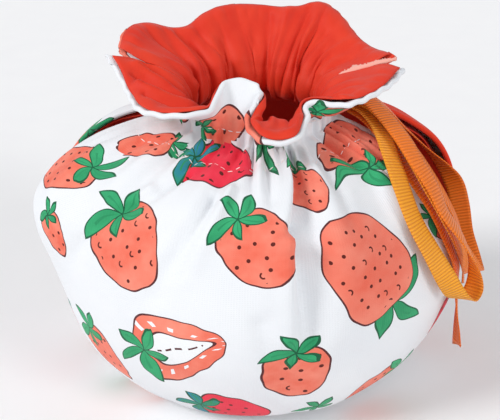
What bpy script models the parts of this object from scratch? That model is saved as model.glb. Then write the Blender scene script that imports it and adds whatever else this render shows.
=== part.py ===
"""Tea cosy of padded cotton: two printed covers, two linings and a ribbon tie.

Metres, +Z up, standing on its hem. The front is towards -Y, the spout slot towards -X
and the handle slot towards +X. The tables are in millimetres.
"""
from collections import namedtuple
from math import pi

import bmesh
import bpy
import numpy as np
from mathutils import Matrix, Vector

MM = 0.001

# Driving dimensions, in millimetres
COVER_THICK = 2.6
LINING_THICK = 1.0
CLOTH_GAP = 0.45
NECK_ALONG = 178.0
RIM_ALONG = 224.0
NECK_REACH = 36.0
NECK_HEIGHT = 135.0
NECK_TILT = 5.0
COLLAR_RISE = 15.0
COLLAR_DRAW_IN = 1.5
COLLAR_LEAN_BACK = 0.38
COLLAR_RIM_LIFT = 3.0
TILT_FROM_ALONG = 120.0
SEAM_GAP = 0.25
LINING_FROM = 6.0
LINING_SHORT = 3.0
RIBBON_WIDE = 10.0
RIBBON_THICK = 1.2
AXIS_RIGHT = -4.2

# Cloth between the hem and the neck at the middle of a panel. along: distance up the
# cloth, reach: distance from the upright axis, height: above the table
Section = namedtuple("Section", "along reach height")
PROFILE = (
    Section(0.0, 60.0, 0.0),
    Section(14.0, 72.5, 6.0),
    Section(33.0, 86.0, 20.0),
    Section(53.0, 94.0, 38.0),
    Section(75.0, 97.5, 60.0),
    Section(97.0, 94.5, 82.0),
    Section(117.0, 86.0, 100.0),
    Section(137.0, 73.0, 115.0),
    Section(157.0, 56.5, 126.5),
    Section(170.0, 43.5, 132.0),
    Section(NECK_ALONG, NECK_REACH, NECK_HEIGHT),
)

# Side edges of the panels. out: distance from the axis towards the spout or the handle,
# apart: distance of the edge from the plane where the two panels meet
Edge = namedtuple("Edge", "along out apart height")
EDGES = {
    ("front", "spout"): (
        Edge(0.0, 60.0, SEAM_GAP, 0.0),
        Edge(14.0, 73.0, SEAM_GAP, 6.0),
        Edge(33.0, 87.0, SEAM_GAP, 20.0),
        Edge(53.0, 96.5, SEAM_GAP, 37.0),
        Edge(68.0, 101.5, 1.0, 53.0),
        Edge(84.0, 105.5, 6.0, 70.0),
        Edge(98.0, 109.0, 10.5, 85.0),
        Edge(112.0, 109.0, 12.5, 99.0),
        Edge(126.0, 100.0, 12.5, 112.0),
        Edge(140.0, 88.0, 11.5, 122.0),
        Edge(157.0, 70.0, 9.0, 132.0),
        Edge(170.0, 50.0, 5.0, 137.0),
        Edge(NECK_ALONG, 36.5, 2.0, 138.0),
    ),
    ("back", "spout"): (
        Edge(0.0, 60.0, SEAM_GAP, 0.0),
        Edge(14.0, 73.0, SEAM_GAP, 6.0),
        Edge(33.0, 87.0, SEAM_GAP, 20.0),
        Edge(53.0, 96.5, SEAM_GAP, 37.0),
        Edge(68.0, 101.0, 1.0, 53.0),
        Edge(84.0, 103.5, 6.0, 70.0),
        Edge(98.0, 103.0, 11.5, 86.0),
        Edge(112.0, 99.0, 14.0, 101.0),
        Edge(126.0, 91.0, 14.5, 114.0),
        Edge(140.0, 81.0, 13.0, 124.0),
        Edge(157.0, 66.0, 10.5, 133.0),
        Edge(170.0, 49.0, 6.5, 138.0),
        Edge(NECK_ALONG, 36.5, 3.0, 139.0),
    ),
    ("front", "handle"): (
        Edge(0.0, 60.0, SEAM_GAP, 0.0),
        Edge(14.0, 73.0, SEAM_GAP, 6.0),
        Edge(33.0, 87.0, SEAM_GAP, 20.0),
        Edge(53.0, 98.5, SEAM_GAP, 35.0),
        Edge(68.0, 103.5, 2.0, 48.0),
        Edge(84.0, 105.0, 8.0, 62.0),
        Edge(98.0, 101.5, 15.0, 77.0),
        Edge(112.0, 95.0, 20.0, 92.0),
        Edge(126.0, 86.5, 22.0, 106.0),
        Edge(140.0, 75.0, 21.0, 119.0),
        Edge(157.0, 60.0, 16.0, 130.0),
        Edge(170.0, 46.5, 9.0, 136.0),
        Edge(NECK_ALONG, 36.5, 3.0, 138.0),
    ),
    ("back", "handle"): (
        Edge(0.0, 60.0, SEAM_GAP, 0.0),
        Edge(14.0, 73.0, SEAM_GAP, 6.0),
        Edge(33.0, 87.0, SEAM_GAP, 20.0),
        Edge(53.0, 98.5, SEAM_GAP, 35.0),
        Edge(68.0, 103.5, 2.0, 49.0),
        Edge(84.0, 105.5, 7.0, 66.0),
        Edge(98.0, 105.0, 11.5, 84.0),
        Edge(112.0, 102.0, 13.5, 101.0),
        Edge(126.0, 94.5, 13.5, 115.0),
        Edge(140.0, 83.0, 12.5, 125.0),
        Edge(157.0, 66.0, 10.0, 134.5),
        Edge(170.0, 49.0, 6.5, 139.0),
        Edge(NECK_ALONG, 36.5, 3.0, 139.5),
    ),
}
EDGE_PULL_FROM = 0.45

# Rim of the collar from the spout side to the handle side. across: -1 to 1 over the
# panel, right: towards the handle, apart: from the plane between the panels
Rim = namedtuple("Rim", "across right apart height")
RIMS = {
    "front": (
        Rim(-1.00, -73.0, 0.5, 164.0),
        Rim(-0.90, -67.0, 8.0, 157.0),
        Rim(-0.76, -60.0, 22.0, 150.0),
        Rim(-0.64, -54.0, 36.0, 147.5),
        Rim(-0.48, -34.0, 46.0, 147.5),
        Rim(-0.36, -19.0, 41.0, 149.5),
        Rim(-0.24, -12.5, 24.0, 159.5),
        Rim(-0.10, 2.0, 26.5, 157.0),
        Rim(0.05, -4.5, 42.0, 144.0),
        Rim(0.17, 4.0, 54.5, 138.5),
        Rim(0.28, 18.5, 53.0, 139.0),
        Rim(0.39, 25.0, 39.0, 144.5),
        Rim(0.50, 26.0, 29.5, 149.5),
        Rim(0.63, 42.0, 37.5, 150.5),
        Rim(0.82, 62.0, 23.0, 154.0),
        Rim(1.00, 73.0, 4.0, 157.5),
    ),
    "back": (
        Rim(-1.00, -67.5, 12.0, 161.5),
        Rim(-0.86, -67.5, 22.0, 168.0),
        Rim(-0.70, -62.0, 33.0, 170.5),
        Rim(-0.53, -51.0, 41.5, 167.0),
        Rim(-0.38, -38.0, 45.5, 165.5),
        Rim(-0.24, -27.0, 54.0, 171.5),
        Rim(-0.09, -14.0, 59.5, 174.5),
        Rim(0.08, 3.0, 60.5, 174.5),
        Rim(0.25, 20.0, 57.0, 173.5),
        Rim(0.40, 33.5, 57.5, 176.5),
        Rim(0.55, 43.0, 52.0, 173.0),
        Rim(0.78, 56.5, 31.0, 160.5),
        Rim(1.00, 70.0, 9.0, 160.0),
    ),
}

# Folds that run down from the gathered neck. at_neck and at_end: where across the panel,
# reaches: how far down the cloth, wide: half width, rise: height of the ridge
Fold = namedtuple("Fold", "at_neck at_end reaches wide rise")
FOLD_AT_NECK = 0.12
FOLD_WIDENS = 0.5
FOLDS = {
    "front": (
        Fold(-0.74, -0.80, 95.0, 0.090, 4.0),
        Fold(-0.52, -0.55, 60.0, 0.070, 3.0),
        Fold(-0.34, -0.44, 85.0, 0.075, 3.5),
        Fold(-0.12, -0.22, 75.0, 0.060, 3.5),
        Fold(0.10, 0.06, 90.0, 0.065, 4.5),
        Fold(0.22, 0.15, 135.0, 0.050, -6.0),
        Fold(0.35, 0.30, 95.0, 0.070, 4.5),
        Fold(0.48, 0.46, 60.0, 0.050, -3.5),
        Fold(0.60, 0.60, 70.0, 0.070, 3.5),
        Fold(0.82, 0.82, 60.0, 0.070, 2.5),
    ),
    "back": tuple(
        Fold(-0.82 + 0.205 * i, -0.84 + 0.21 * i, 55.0 + 25.0 * (i % 3), 0.08, 3.2)
        for i in range(9)
    ),
}

# Small gathers at the neck: how many across a panel, how deep, how far they run down
# the body, how unevenly they are spaced, where they end beside the slots, and how soon
# they fade up the collar
GATHER_COUNT = 7
GATHER_DEEP = 1.2
GATHER_RUN = 30.0
GATHER_UNEVEN = 0.35
GATHER_DRIFT = 5.1
GATHER_START = {"front": 0.9, "back": 2.3}
GATHER_ENDS = (0.84, 0.98)
GATHER_FADE = {"front": 1.5, "back": 0.85}

# Stations of the mesh: columns across a panel, and distances along the cloth. Normals
# are evened over these steps across and along
ACROSS_COUNT = 41
NORMAL_STEPS = (0.045, 5.0)
ALONG = (
    0.0, 10.0, 24.0, 40.0, 56.0, 70.0, 84.0, 98.0, 112.0, 126.0, 140.0, 153.0,
    164.0, 172.0, 178.0, 184.0, 191.0, 199.0, 207.0, 216.0, 224.0,
)

# Ribbon strands, from the knot and, for the loops, back to it. wide: compass angle that
# the ribbon's width lies along, 0 from front to back and 90 from spout to handle
Bend = namedtuple("Bend", "x y z wide")
KNOT_PLACE = (47.0, -2.0, 144.0)
KNOT_HALF = (7.2, 6.6, 5.8)
RIBBON_STRANDS = {
    "near_loop": (
        Bend(48.0, -4.5, 142.4, 128.0),
        Bend(55.0, -13.5, 140.6, 130.0),
        Bend(60.5, -24.5, 135.2, 133.0),
        Bend(64.2, -39.5, 126.5, 132.0),
        Bend(68.2, -50.5, 115.8, 130.0),
        Bend(74.0, -57.5, 102.0, 130.0),
        Bend(82.5, -60.0, 87.0, 122.0),
        Bend(90.0, -60.0, 73.5, 104.0),
        Bend(96.0, -57.0, 63.5, 84.0),
        Bend(102.0, -52.0, 59.5, 66.0),
        Bend(106.0, -47.5, 64.0, 44.0),
        Bend(105.0, -47.0, 75.0, 18.0),
        Bend(98.5, -50.5, 89.5, -10.0),
        Bend(89.0, -50.0, 103.0, -24.0),
        Bend(80.5, -45.5, 115.5, -32.0),
        Bend(72.5, -40.5, 126.5, -34.0),
        Bend(65.5, -30.5, 135.5, -36.0),
        Bend(56.5, -13.5, 145.0, -38.0),
        Bend(48.5, -4.0, 146.2, -40.0),
    ),
    "far_loop": (
        Bend(48.5, -4.0, 144.3, 145.0),
        Bend(57.5, -12.5, 142.8, 148.0),
        Bend(67.0, -23.5, 134.2, 152.0),
        Bend(75.0, -34.5, 123.5, 154.0),
        Bend(81.5, -42.0, 113.0, 156.0),
        Bend(89.0, -45.8, 100.5, 158.0),
        Bend(96.5, -43.5, 87.0, 156.0),
        Bend(103.0, -36.5, 73.5, 142.0),
        Bend(108.5, -27.0, 62.0, 118.0),
        Bend(112.0, -14.5, 56.0, 100.0),
        Bend(112.0, -3.5, 58.0, 92.0),
        Bend(108.5, 3.0, 69.0, 88.0),
        Bend(106.0, 5.5, 83.0, 86.0),
        Bend(102.0, 7.0, 96.0, 82.0),
        Bend(95.5, 7.5, 107.0, 74.0),
        Bend(86.5, 6.0, 117.0, 58.0),
        Bend(76.0, 4.0, 127.5, 36.0),
        Bend(64.0, 3.5, 139.0, 10.0),
        Bend(49.5, 0.0, 147.5, -12.0),
    ),
    "long_tail": (
        Bend(47.5, -4.0, 139.8, 135.0),
        Bend(55.0, -13.5, 137.4, 137.0),
        Bend(62.5, -23.5, 131.2, 140.0),
        Bend(70.0, -34.0, 123.2, 144.0),
        Bend(77.0, -40.0, 113.5, 148.0),
        Bend(84.8, -43.8, 102.0, 151.0),
        Bend(91.5, -44.2, 88.5, 154.0),
        Bend(97.0, -43.0, 75.0, 157.0),
        Bend(98.6, -41.8, 61.5, 162.0),
        Bend(99.4, -41.8, 49.0, 172.0),
        Bend(100.2, -42.2, 38.0, 186.0),
        Bend(100.8, -42.5, 28.5, 194.0),
    ),
    "short_tail": (
        Bend(48.5, -2.5, 141.0, 160.0),
        Bend(62.0, -5.5, 136.5, 162.0),
        Bend(76.5, -10.0, 122.5, 164.0),
        Bend(90.0, -12.5, 104.0, 166.0),
        Bend(101.5, -13.0, 83.0, 168.0),
        Bend(105.8, -14.5, 66.0, 170.0),
        Bend(106.8, -15.5, 49.0, 165.0),
    ),
}

COLOURS = {
    "cover": ((0.83, 0.83, 0.85), 0.85),
    "lining": ((0.78, 0.06, 0.03), 0.75),
    "ribbon": ((0.93, 0.24, 0.02), 0.55),
}


def through(rows, at):
    """Smooth curve through table rows whose first column is the station."""
    table = np.array(rows, float)
    station, value = table[:, 0], table[:, 1:]
    step = np.diff(station)[:, None]
    slope = np.diff(value, axis=0) / step
    inner = (slope[:-1] * step[1:] + slope[1:] * step[:-1]) / (step[1:] + step[:-1])
    tangent = np.concatenate([slope[:1], inner, slope[-1:]])
    at = np.clip(np.asarray(at, float), station[0], station[-1])
    i = np.clip(np.searchsorted(station, at, side="right") - 1, 0, len(station) - 2)
    w = step[i, 0]
    s = ((at - station[i]) / w)[..., None]
    w = w[..., None]
    return (
        value[i] * (1 + 2 * s) * (1 - s) ** 2
        + value[i + 1] * (3 - 2 * s) * s ** 2
        + tangent[i] * w * s * (1 - s) ** 2
        + tangent[i + 1] * w * (s - 1) * s ** 2
    )


def eased(share):
    """0 to 1 with level ends."""
    share = np.clip(share, 0.0, 1.0)
    return share * share * (3 - 2 * share)


def body_places(panel, across, along):
    """Outer face of a panel from the hem to the neck, as right, apart and height."""
    turn = across * pi / 2
    profile = through(PROFILE, along)
    near_neck = eased((along - TILT_FROM_ALONG) / (NECK_ALONG - TILT_FROM_ALONG))
    front = 1.0 if panel == "front" else -1.0
    lift = -front * NECK_TILT * np.cos(turn) * near_neck
    reach = profile[..., 0] + fold_rise(panel, across, along)
    place = np.stack([reach * np.sin(turn), reach * np.cos(turn), profile[..., 1] + lift], -1)
    for side, sign in (("spout", -1.0), ("handle", 1.0)):
        edge = through(EDGES[panel, side], along)
        target = np.stack([sign * edge[..., 0], edge[..., 1], edge[..., 2]], -1)
        plain = np.stack([sign * profile[..., 0], 0 * along, profile[..., 1]], -1)
        pull = eased((sign * across - EDGE_PULL_FROM) / (1 - EDGE_PULL_FROM))
        place = place + (target - plain) * pull[..., None]
    return place


def fold_rise(panel, across, along):
    """How far the folds stand out from the plain body."""
    rise = 0 * across
    for fold in FOLDS[panel]:
        down = np.clip((NECK_ALONG - along) / fold.reaches, 0.0, 1.0)
        middle = fold.at_neck + (fold.at_end - fold.at_neck) * down
        wide = fold.wide * (1 + FOLD_WIDENS * down)
        swell = np.sin(pi * (FOLD_AT_NECK + (1 - FOLD_AT_NECK) * down))
        rise = rise + fold.rise * swell * np.exp(-(((across - middle) / wide) ** 2))
    return rise


def gather_rise(panel, across, along):
    """How far the small gathers stand out, most at the neck."""
    drift = np.sin(GATHER_DRIFT * across + GATHER_START[panel])
    phase = pi * GATHER_COUNT * across + 2 * pi * GATHER_UNEVEN * drift
    below = np.exp(-((np.minimum(along - NECK_ALONG, 0.0) / GATHER_RUN) ** 2))
    above = 1 - eased(GATHER_FADE[panel] * (along - NECK_ALONG) / (RIM_ALONG - NECK_ALONG))
    fade_from, fade_to = GATHER_ENDS
    inside = 1 - eased((np.abs(across) - fade_from) / (fade_to - fade_from))
    return GATHER_DEEP * np.sin(phase) * below * above * inside


def collar_places(panel, across, along):
    """Outer face of a panel from the neck to the rim."""
    neck = body_places(panel, across, 0 * along + NECK_ALONG)
    rim = through(RIMS[panel], across)
    share = ((along - NECK_ALONG) / (RIM_ALONG - NECK_ALONG))[..., None]
    up = np.array([0.0, 0.0, 1.0])
    out = neck * np.array([1.0, 1.0, 0.0])
    out = out / np.maximum(np.linalg.norm(out, axis=-1, keepdims=True), 1e-9)
    rise = neck + up * COLLAR_RISE - out * COLLAR_DRAW_IN
    turn_out = rim + (neck - rim) * COLLAR_LEAN_BACK + up * COLLAR_RIM_LIFT
    return (
        neck * (1 - share) ** 3
        + 3 * rise * share * (1 - share) ** 2
        + 3 * turn_out * share ** 2 * (1 - share)
        + rim * share ** 3
    )


def panel_places(panel, across, along):
    """Outer face of a panel in the part's axes, in millimetres."""
    body = body_places(panel, across, np.minimum(along, NECK_ALONG))
    collar = collar_places(panel, across, np.maximum(along, NECK_ALONG))
    place = np.where((along > NECK_ALONG)[..., None], collar, body)
    out = place * np.array([1.0, 1.0, 0.0])
    out = out / np.maximum(np.linalg.norm(out, axis=-1, keepdims=True), 1e-9)
    place = place + out * gather_rise(panel, across, along)[..., None]
    if panel == "front":
        place = place * np.array([1.0, -1.0, 1.0])
    return place


def panel_normals(panel, across, along):
    """Directions out of the cloth, evened over a short stretch and level at the hem."""
    step_across, step_along = NORMAL_STEPS
    tangent = panel_places(panel, np.minimum(across + step_across, 1.0), along)
    tangent -= panel_places(panel, np.maximum(across - step_across, -1.0), along)
    rising = panel_places(panel, across, np.minimum(along + step_along, RIM_ALONG))
    rising -= panel_places(panel, across, np.maximum(along - step_along, 0.0))
    normal = np.cross(tangent, rising)
    if panel == "back":
        normal = -normal
    at_hem = (along <= 0.0)[..., None]
    normal = np.where(at_hem, normal * np.array([1.0, 1.0, 0.0]), normal)
    return normal / np.linalg.norm(normal, axis=-1, keepdims=True)


def material(name):
    """Plain cloth material of a piece."""
    colour, roughness = COLOURS[name]
    made = bpy.data.materials.new(name)
    made.use_nodes = True
    shader = made.node_tree.nodes["Principled BSDF"]
    shader.inputs["Base Color"].default_value = (*colour, 1.0)
    shader.inputs["Roughness"].default_value = roughness
    shader.inputs["Metallic"].default_value = 0.0
    made.diffuse_color = (*colour, 1.0)
    return made


def keep(name, bm, finish):
    """Turns a bmesh into a named object with its material, set on the part's origin."""
    bmesh.ops.translate(bm, vec=Vector((AXIS_RIGHT * MM, 0.0, 0.0)), verts=bm.verts)
    bmesh.ops.recalc_face_normals(bm, faces=bm.faces)
    mesh = bpy.data.meshes.new(name)
    bm.to_mesh(mesh)
    bm.free()
    mesh.shade_smooth()
    mesh.materials.append(finish)
    piece = bpy.data.objects.new(name, mesh)
    bpy.context.scene.collection.objects.link(piece)
    return piece


def cloth_panel(name, panel, above, below, along_range, finish):
    """A closed sheet between two depths under the outer face of a panel."""
    stations = [a for a in ALONG if along_range[0] < a < along_range[1]]
    stations = [along_range[0], *stations, along_range[1]]
    columns, rows = ACROSS_COUNT, len(stations)
    bm = bmesh.new()
    bmesh.ops.create_grid(bm, x_segments=columns - 1, y_segments=rows - 1, size=1.0)
    index = bm.verts.layers.int.new("station")
    for vert in bm.verts:
        column = round((vert.co.x + 1) / 2 * (columns - 1))
        row = round((vert.co.y + 1) / 2 * (rows - 1))
        vert[index] = row * columns + column
    outside = set(bm.verts)
    bmesh.ops.extrude_face_region(bm, geom=bm.faces[:], use_keep_orig=True)
    across, along = np.meshgrid(np.linspace(-1.0, 1.0, columns), np.array(stations))
    outer = panel_places(panel, across, along)
    normal = panel_normals(panel, across, along)
    top = ((outer - normal * above) * MM).reshape(-1, 3)
    bottom = ((outer - normal * below) * MM).reshape(-1, 3)
    for skin in (top, bottom):
        apart = np.maximum(np.abs(skin[:, 1]), SEAM_GAP * MM)
        skin[:, 1] = -apart if panel == "front" else apart
    for vert in bm.verts:
        vert.co = (top if vert in outside else bottom)[vert[index]]
    return keep(name, bm, finish)


def ribbon_strand(name, bends, finish):
    """A flat ribbon swept along its bends."""
    rows = [(i, *bend) for i, bend in enumerate(bends)]
    count = 2 * (len(bends) - 1) + 1
    path = through(rows, np.linspace(0.0, len(bends) - 1.0, count))
    places = [Vector(p[:3]) for p in path]
    half_wide, half_thick = RIBBON_WIDE / 2, RIBBON_THICK / 2
    bm = bmesh.new()
    ring = []
    for i, (place, wide) in enumerate(zip(places, path[:, 3])):
        before, after = places[max(i - 1, 0)], places[min(i + 1, count - 1)]
        forward = (after - before).normalized()
        level = Matrix.Rotation(np.radians(wide), 3, "Z") @ Vector((0.0, -1.0, 0.0))
        side = (level - forward * level.dot(forward)).normalized() * half_wide
        thick = side.cross(forward).normalized() * half_thick
        corners = (side + thick, thick - side, -side - thick, side - thick)
        fresh = [bm.verts.new((place + corner) * MM) for corner in corners]
        if not ring:
            bm.faces.new(fresh)
        else:
            for j in range(4):
                k = (j + 1) % 4
                if j == 2:
                    bm.faces.new((ring[j], ring[k], fresh[j]))
                    bm.faces.new((ring[k], fresh[k], fresh[j]))
                else:
                    bm.faces.new((ring[j], ring[k], fresh[k]))
                    bm.faces.new((ring[j], fresh[k], fresh[j]))
        ring = fresh
    bm.faces.new(ring)
    strand = keep(name, bm, finish)
    strand.hide_render = True
    strand.display_type = "WIRE"
    return strand


def ribbon_tie(finish):
    """The knot where the ribbon leaves the casing, with its two loops and two tails."""
    bm = bmesh.new()
    bmesh.ops.create_uvsphere(bm, u_segments=12, v_segments=7, radius=1.0)
    bmesh.ops.scale(bm, vec=Vector(KNOT_HALF) * MM, verts=bm.verts)
    bmesh.ops.translate(bm, vec=Vector(KNOT_PLACE) * MM, verts=bm.verts)
    tie = keep("ribbon_tie", bm, finish)
    for name, bends in RIBBON_STRANDS.items():
        join = tie.modifiers.new(name, "BOOLEAN")
        join.operation = "UNION"
        join.solver = "EXACT"
        join.use_self = True
        join.object = ribbon_strand(name, bends, finish)
    return tie


def main():
    """Builds the cosy."""
    for old in list(bpy.data.objects):
        bpy.data.objects.remove(old)
    cotton, red, orange = (material(name) for name in ("cover", "lining", "ribbon"))
    lining_top = COVER_THICK + CLOTH_GAP
    for panel in ("front", "back"):
        cloth_panel("cover_" + panel, panel, 0.0, COVER_THICK, (0.0, RIM_ALONG), cotton)
        cloth_panel("lining_" + panel, panel, lining_top, lining_top + LINING_THICK,
                    (LINING_FROM, RIM_ALONG - LINING_SHORT), red)
    ribbon_tie(orange)


main()
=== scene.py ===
"""Gathered tea cosy of printed cotton with its linings, ribbon and stitching.

Laid out as a Blender add-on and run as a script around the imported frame. The cloth is worked
out in millimetres on each panel: across runs from -1 at the spout side to 1 at the handle
side, and along is the distance up the cloth from the hem.
"""
from collections import namedtuple
from math import cos, pi, radians, sin

import bmesh
import bpy
import numpy as np
from bpy.props import FloatProperty, FloatVectorProperty, PointerProperty
from bpy.types import Operator, Panel, PropertyGroup
from mathutils import Matrix, Vector


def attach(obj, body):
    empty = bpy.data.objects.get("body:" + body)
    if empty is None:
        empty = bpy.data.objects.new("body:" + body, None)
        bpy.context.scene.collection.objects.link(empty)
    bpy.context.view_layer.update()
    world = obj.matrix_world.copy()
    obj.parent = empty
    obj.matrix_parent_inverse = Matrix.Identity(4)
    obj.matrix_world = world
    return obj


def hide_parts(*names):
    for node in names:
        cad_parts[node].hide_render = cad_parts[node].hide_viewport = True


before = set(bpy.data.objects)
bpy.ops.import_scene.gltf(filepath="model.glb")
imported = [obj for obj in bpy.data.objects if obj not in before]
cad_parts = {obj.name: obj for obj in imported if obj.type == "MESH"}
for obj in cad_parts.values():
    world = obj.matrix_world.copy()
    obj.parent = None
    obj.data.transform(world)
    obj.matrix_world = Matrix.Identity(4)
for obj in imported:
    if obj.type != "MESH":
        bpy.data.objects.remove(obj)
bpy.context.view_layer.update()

bl_info = {
    "name": "Gathered tea cosy",
    "version": (1, 0, 0),
    "blender": (4, 5, 0),
    "location": "3D View > Sidebar > Tea cosy",
    "description": "Builds a gathered, lined tea cosy with a strawberry print and a ribbon tie",
    "category": "Add Mesh",
}

MM = 0.001

# Driving dimensions of the part, in millimetres
LINING_UNDER = 3.05
NECK_ALONG = 178.0
RIM_ALONG = 224.0
NECK_REACH = 36.0
NECK_HEIGHT = 135.0
NECK_TILT = 5.0
COLLAR_RISE = 15.0
COLLAR_DRAW_IN = 1.5
COLLAR_LEAN_BACK = 0.38
COLLAR_RIM_LIFT = 3.0
TILT_FROM_ALONG = 120.0
SEAM_GAP = 0.25
LINING_FROM = 6.0
AXIS_RIGHT = -4.2

# Cloth between the hem and the neck at the middle of a panel: distance up the cloth,
# distance from the upright axis, height above the table
PROFILE = (
    (0, 60, 0), (14, 72.5, 6), (33, 86, 20), (53, 94, 38), (75, 97.5, 60), (97, 94.5, 82),
    (117, 86, 100), (137, 73, 115), (157, 56.5, 126.5), (170, 43.5, 132),
    (NECK_ALONG, NECK_REACH, NECK_HEIGHT),
)

# Side edges of the panels: distance up the cloth, distance from the axis towards the spout
# or the handle, distance from the plane where the two panels meet, height
HEM_EDGE = ((0, 60, SEAM_GAP, 0), (14, 73, SEAM_GAP, 6), (33, 87, SEAM_GAP, 20))
EDGES = {
    ("front", "spout"): (
        *HEM_EDGE, (53, 96.5, SEAM_GAP, 37), (68, 101.5, 1, 53), (84, 105.5, 6, 70),
        (98, 109, 10.5, 85), (112, 109, 12.5, 99), (126, 100, 12.5, 112), (140, 88, 11.5, 122),
        (157, 70, 9, 132), (170, 50, 5, 137), (NECK_ALONG, 36.5, 2, 138),
    ),
    ("back", "spout"): (
        *HEM_EDGE, (53, 96.5, SEAM_GAP, 37), (68, 101, 1, 53), (84, 103.5, 6, 70),
        (98, 103, 11.5, 86), (112, 99, 14, 101), (126, 91, 14.5, 114), (140, 81, 13, 124),
        (157, 66, 10.5, 133), (170, 49, 6.5, 138), (NECK_ALONG, 36.5, 3, 139),
    ),
    ("front", "handle"): (
        *HEM_EDGE, (53, 98.5, SEAM_GAP, 35), (68, 103.5, 2, 48), (84, 105, 8, 62),
        (98, 101.5, 15, 77), (112, 95, 20, 92), (126, 86.5, 22, 106), (140, 75, 21, 119),
        (157, 60, 16, 130), (170, 46.5, 9, 136), (NECK_ALONG, 36.5, 3, 138),
    ),
    ("back", "handle"): (
        *HEM_EDGE, (53, 98.5, SEAM_GAP, 35), (68, 103.5, 2, 49), (84, 105.5, 7, 66),
        (98, 105, 11.5, 84), (112, 102, 13.5, 101), (126, 94.5, 13.5, 115), (140, 83, 12.5, 125),
        (157, 66, 10, 134.5), (170, 49, 6.5, 139), (NECK_ALONG, 36.5, 3, 139.5),
    ),
}
EDGE_PULL_FROM = 0.45

# Rim of the collar from the spout side to the handle side: across, distance towards the
# handle, distance from the plane between the panels, height
RIMS = {
    "front": (
        (-1, -73, 0.5, 164), (-0.9, -67, 8, 157), (-0.76, -60, 22, 150), (-0.64, -54, 36, 147.5),
        (-0.48, -34, 46, 147.5), (-0.36, -19, 41, 149.5), (-0.24, -12.5, 24, 159.5),
        (-0.1, 2, 26.5, 157), (0.05, -4.5, 42, 144), (0.17, 4, 54.5, 138.5),
        (0.28, 18.5, 53, 139), (0.39, 25, 39, 144.5), (0.5, 26, 29.5, 149.5),
        (0.63, 42, 37.5, 150.5), (0.82, 62, 23, 154), (1, 73, 4, 157.5),
    ),
    "back": (
        (-1, -67.5, 12, 161.5), (-0.86, -67.5, 22, 168), (-0.7, -62, 33, 170.5),
        (-0.53, -51, 41.5, 167), (-0.38, -38, 45.5, 165.5), (-0.24, -27, 54, 171.5),
        (-0.09, -14, 59.5, 174.5), (0.08, 3, 60.5, 174.5), (0.25, 20, 57, 173.5),
        (0.4, 33.5, 57.5, 176.5), (0.55, 43, 52, 173), (0.78, 56.5, 31, 160.5), (1, 70, 9, 160),
    ),
}

# Folds that run down from the gathered neck: across at the neck and at the end, how far
# down the cloth they reach, half width as a share of across, height of the ridge
FOLD_AT_NECK = 0.12
FOLD_WIDENS = 0.5
FOLDS = {
    "front": (
        (-0.74, -0.8, 95, 0.09, 4), (-0.52, -0.55, 60, 0.07, 3), (-0.34, -0.44, 85, 0.075, 3.5),
        (-0.12, -0.22, 75, 0.06, 3.5), (0.1, 0.06, 90, 0.065, 4.5), (0.22, 0.15, 135, 0.05, -6),
        (0.35, 0.3, 95, 0.07, 4.5), (0.48, 0.46, 60, 0.05, -3.5), (0.6, 0.6, 70, 0.07, 3.5),
        (0.82, 0.82, 60, 0.07, 2.5),
    ),
    "back": tuple(
        (-0.82 + 0.205 * i, -0.84 + 0.21 * i, 55.0 + 25.0 * (i % 3), 0.08, 3.2)
        for i in range(9)
    ),
}

# Small gathers at the neck, as in the part
GATHER_COUNT = 7
GATHER_DEEP = 1.2
GATHER_RUN = 30.0
GATHER_UNEVEN = 0.35
GATHER_DRIFT = 5.1
GATHER_START = {"front": 0.9, "back": 2.3}
GATHER_ENDS = (0.84, 0.98)
GATHER_FADE = {"front": 1.5, "back": 0.85}

# Ribbon strands, from the knot and, for the loops, back to it: x, y, z, and the compass
# angle that the ribbon's width lies along, 0 from front to back and 90 from spout to handle
RIBBON_STRANDS = {
    "near_loop": (
        (48, -4.5, 142.4, 128), (55, -13.5, 140.6, 130), (60.5, -24.5, 135.2, 133),
        (64.2, -39.5, 126.5, 132), (68.2, -50.5, 115.8, 130), (74, -57.5, 102, 130),
        (82.5, -60, 87, 122), (90, -60, 73.5, 104), (96, -57, 63.5, 84), (102, -52, 59.5, 66),
        (106, -47.5, 64, 44), (105, -47, 75, 18), (98.5, -50.5, 89.5, -10), (89, -50, 103, -24),
        (82.5, -45.5, 115.5, -36), (75, -40.5, 126.5, -42), (68, -30, 135.5, -46),
        (56.5, -13.5, 145, -38), (48.5, -4, 146.2, -40),
    ),
    "far_loop": (
        (48.5, -4, 144.3, 145), (57.5, -12.5, 142.8, 148), (67, -23.5, 134.2, 152),
        (75, -34.5, 123.5, 154), (81.5, -42, 113, 156), (89, -45.8, 100.5, 158),
        (96.5, -43.5, 87, 156), (103, -36.5, 73.5, 142), (108.5, -27, 62, 118),
        (112, -14.5, 56, 100), (112, -3.5, 58, 92), (108.5, 3, 69, 88), (106, 5.5, 83, 86),
        (102, 6, 96, 74), (94.5, 5.5, 107, 44), (85, 4.5, 117, 20), (74.5, 3.5, 127.5, 10),
        (63.5, 3.5, 139, 5), (49.5, 0, 147.5, -12),
    ),
    "long_tail": (
        (47.5, -4, 139.8, 135), (55, -13.5, 137.4, 137), (62.5, -23.5, 131.2, 140),
        (70, -34, 123.2, 144), (77, -40, 113.5, 148), (84.8, -43.8, 102, 151),
        (91.5, -44.2, 88.5, 154), (97, -43, 75, 157), (98.6, -41.8, 61.5, 162),
        (99.4, -41.8, 49, 172), (100.2, -42.2, 38, 186), (100.8, -42.5, 28.5, 194),
    ),
    "short_tail": (
        (48.5, -2.5, 141, 160), (62, -5.5, 136.5, 162), (76.5, -10, 122.5, 164),
        (90, -12.5, 104, 166), (101.5, -13, 83, 168), (105.8, -14.5, 66, 170),
        (106.8, -15.5, 49, 165),
    ),
}

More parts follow.
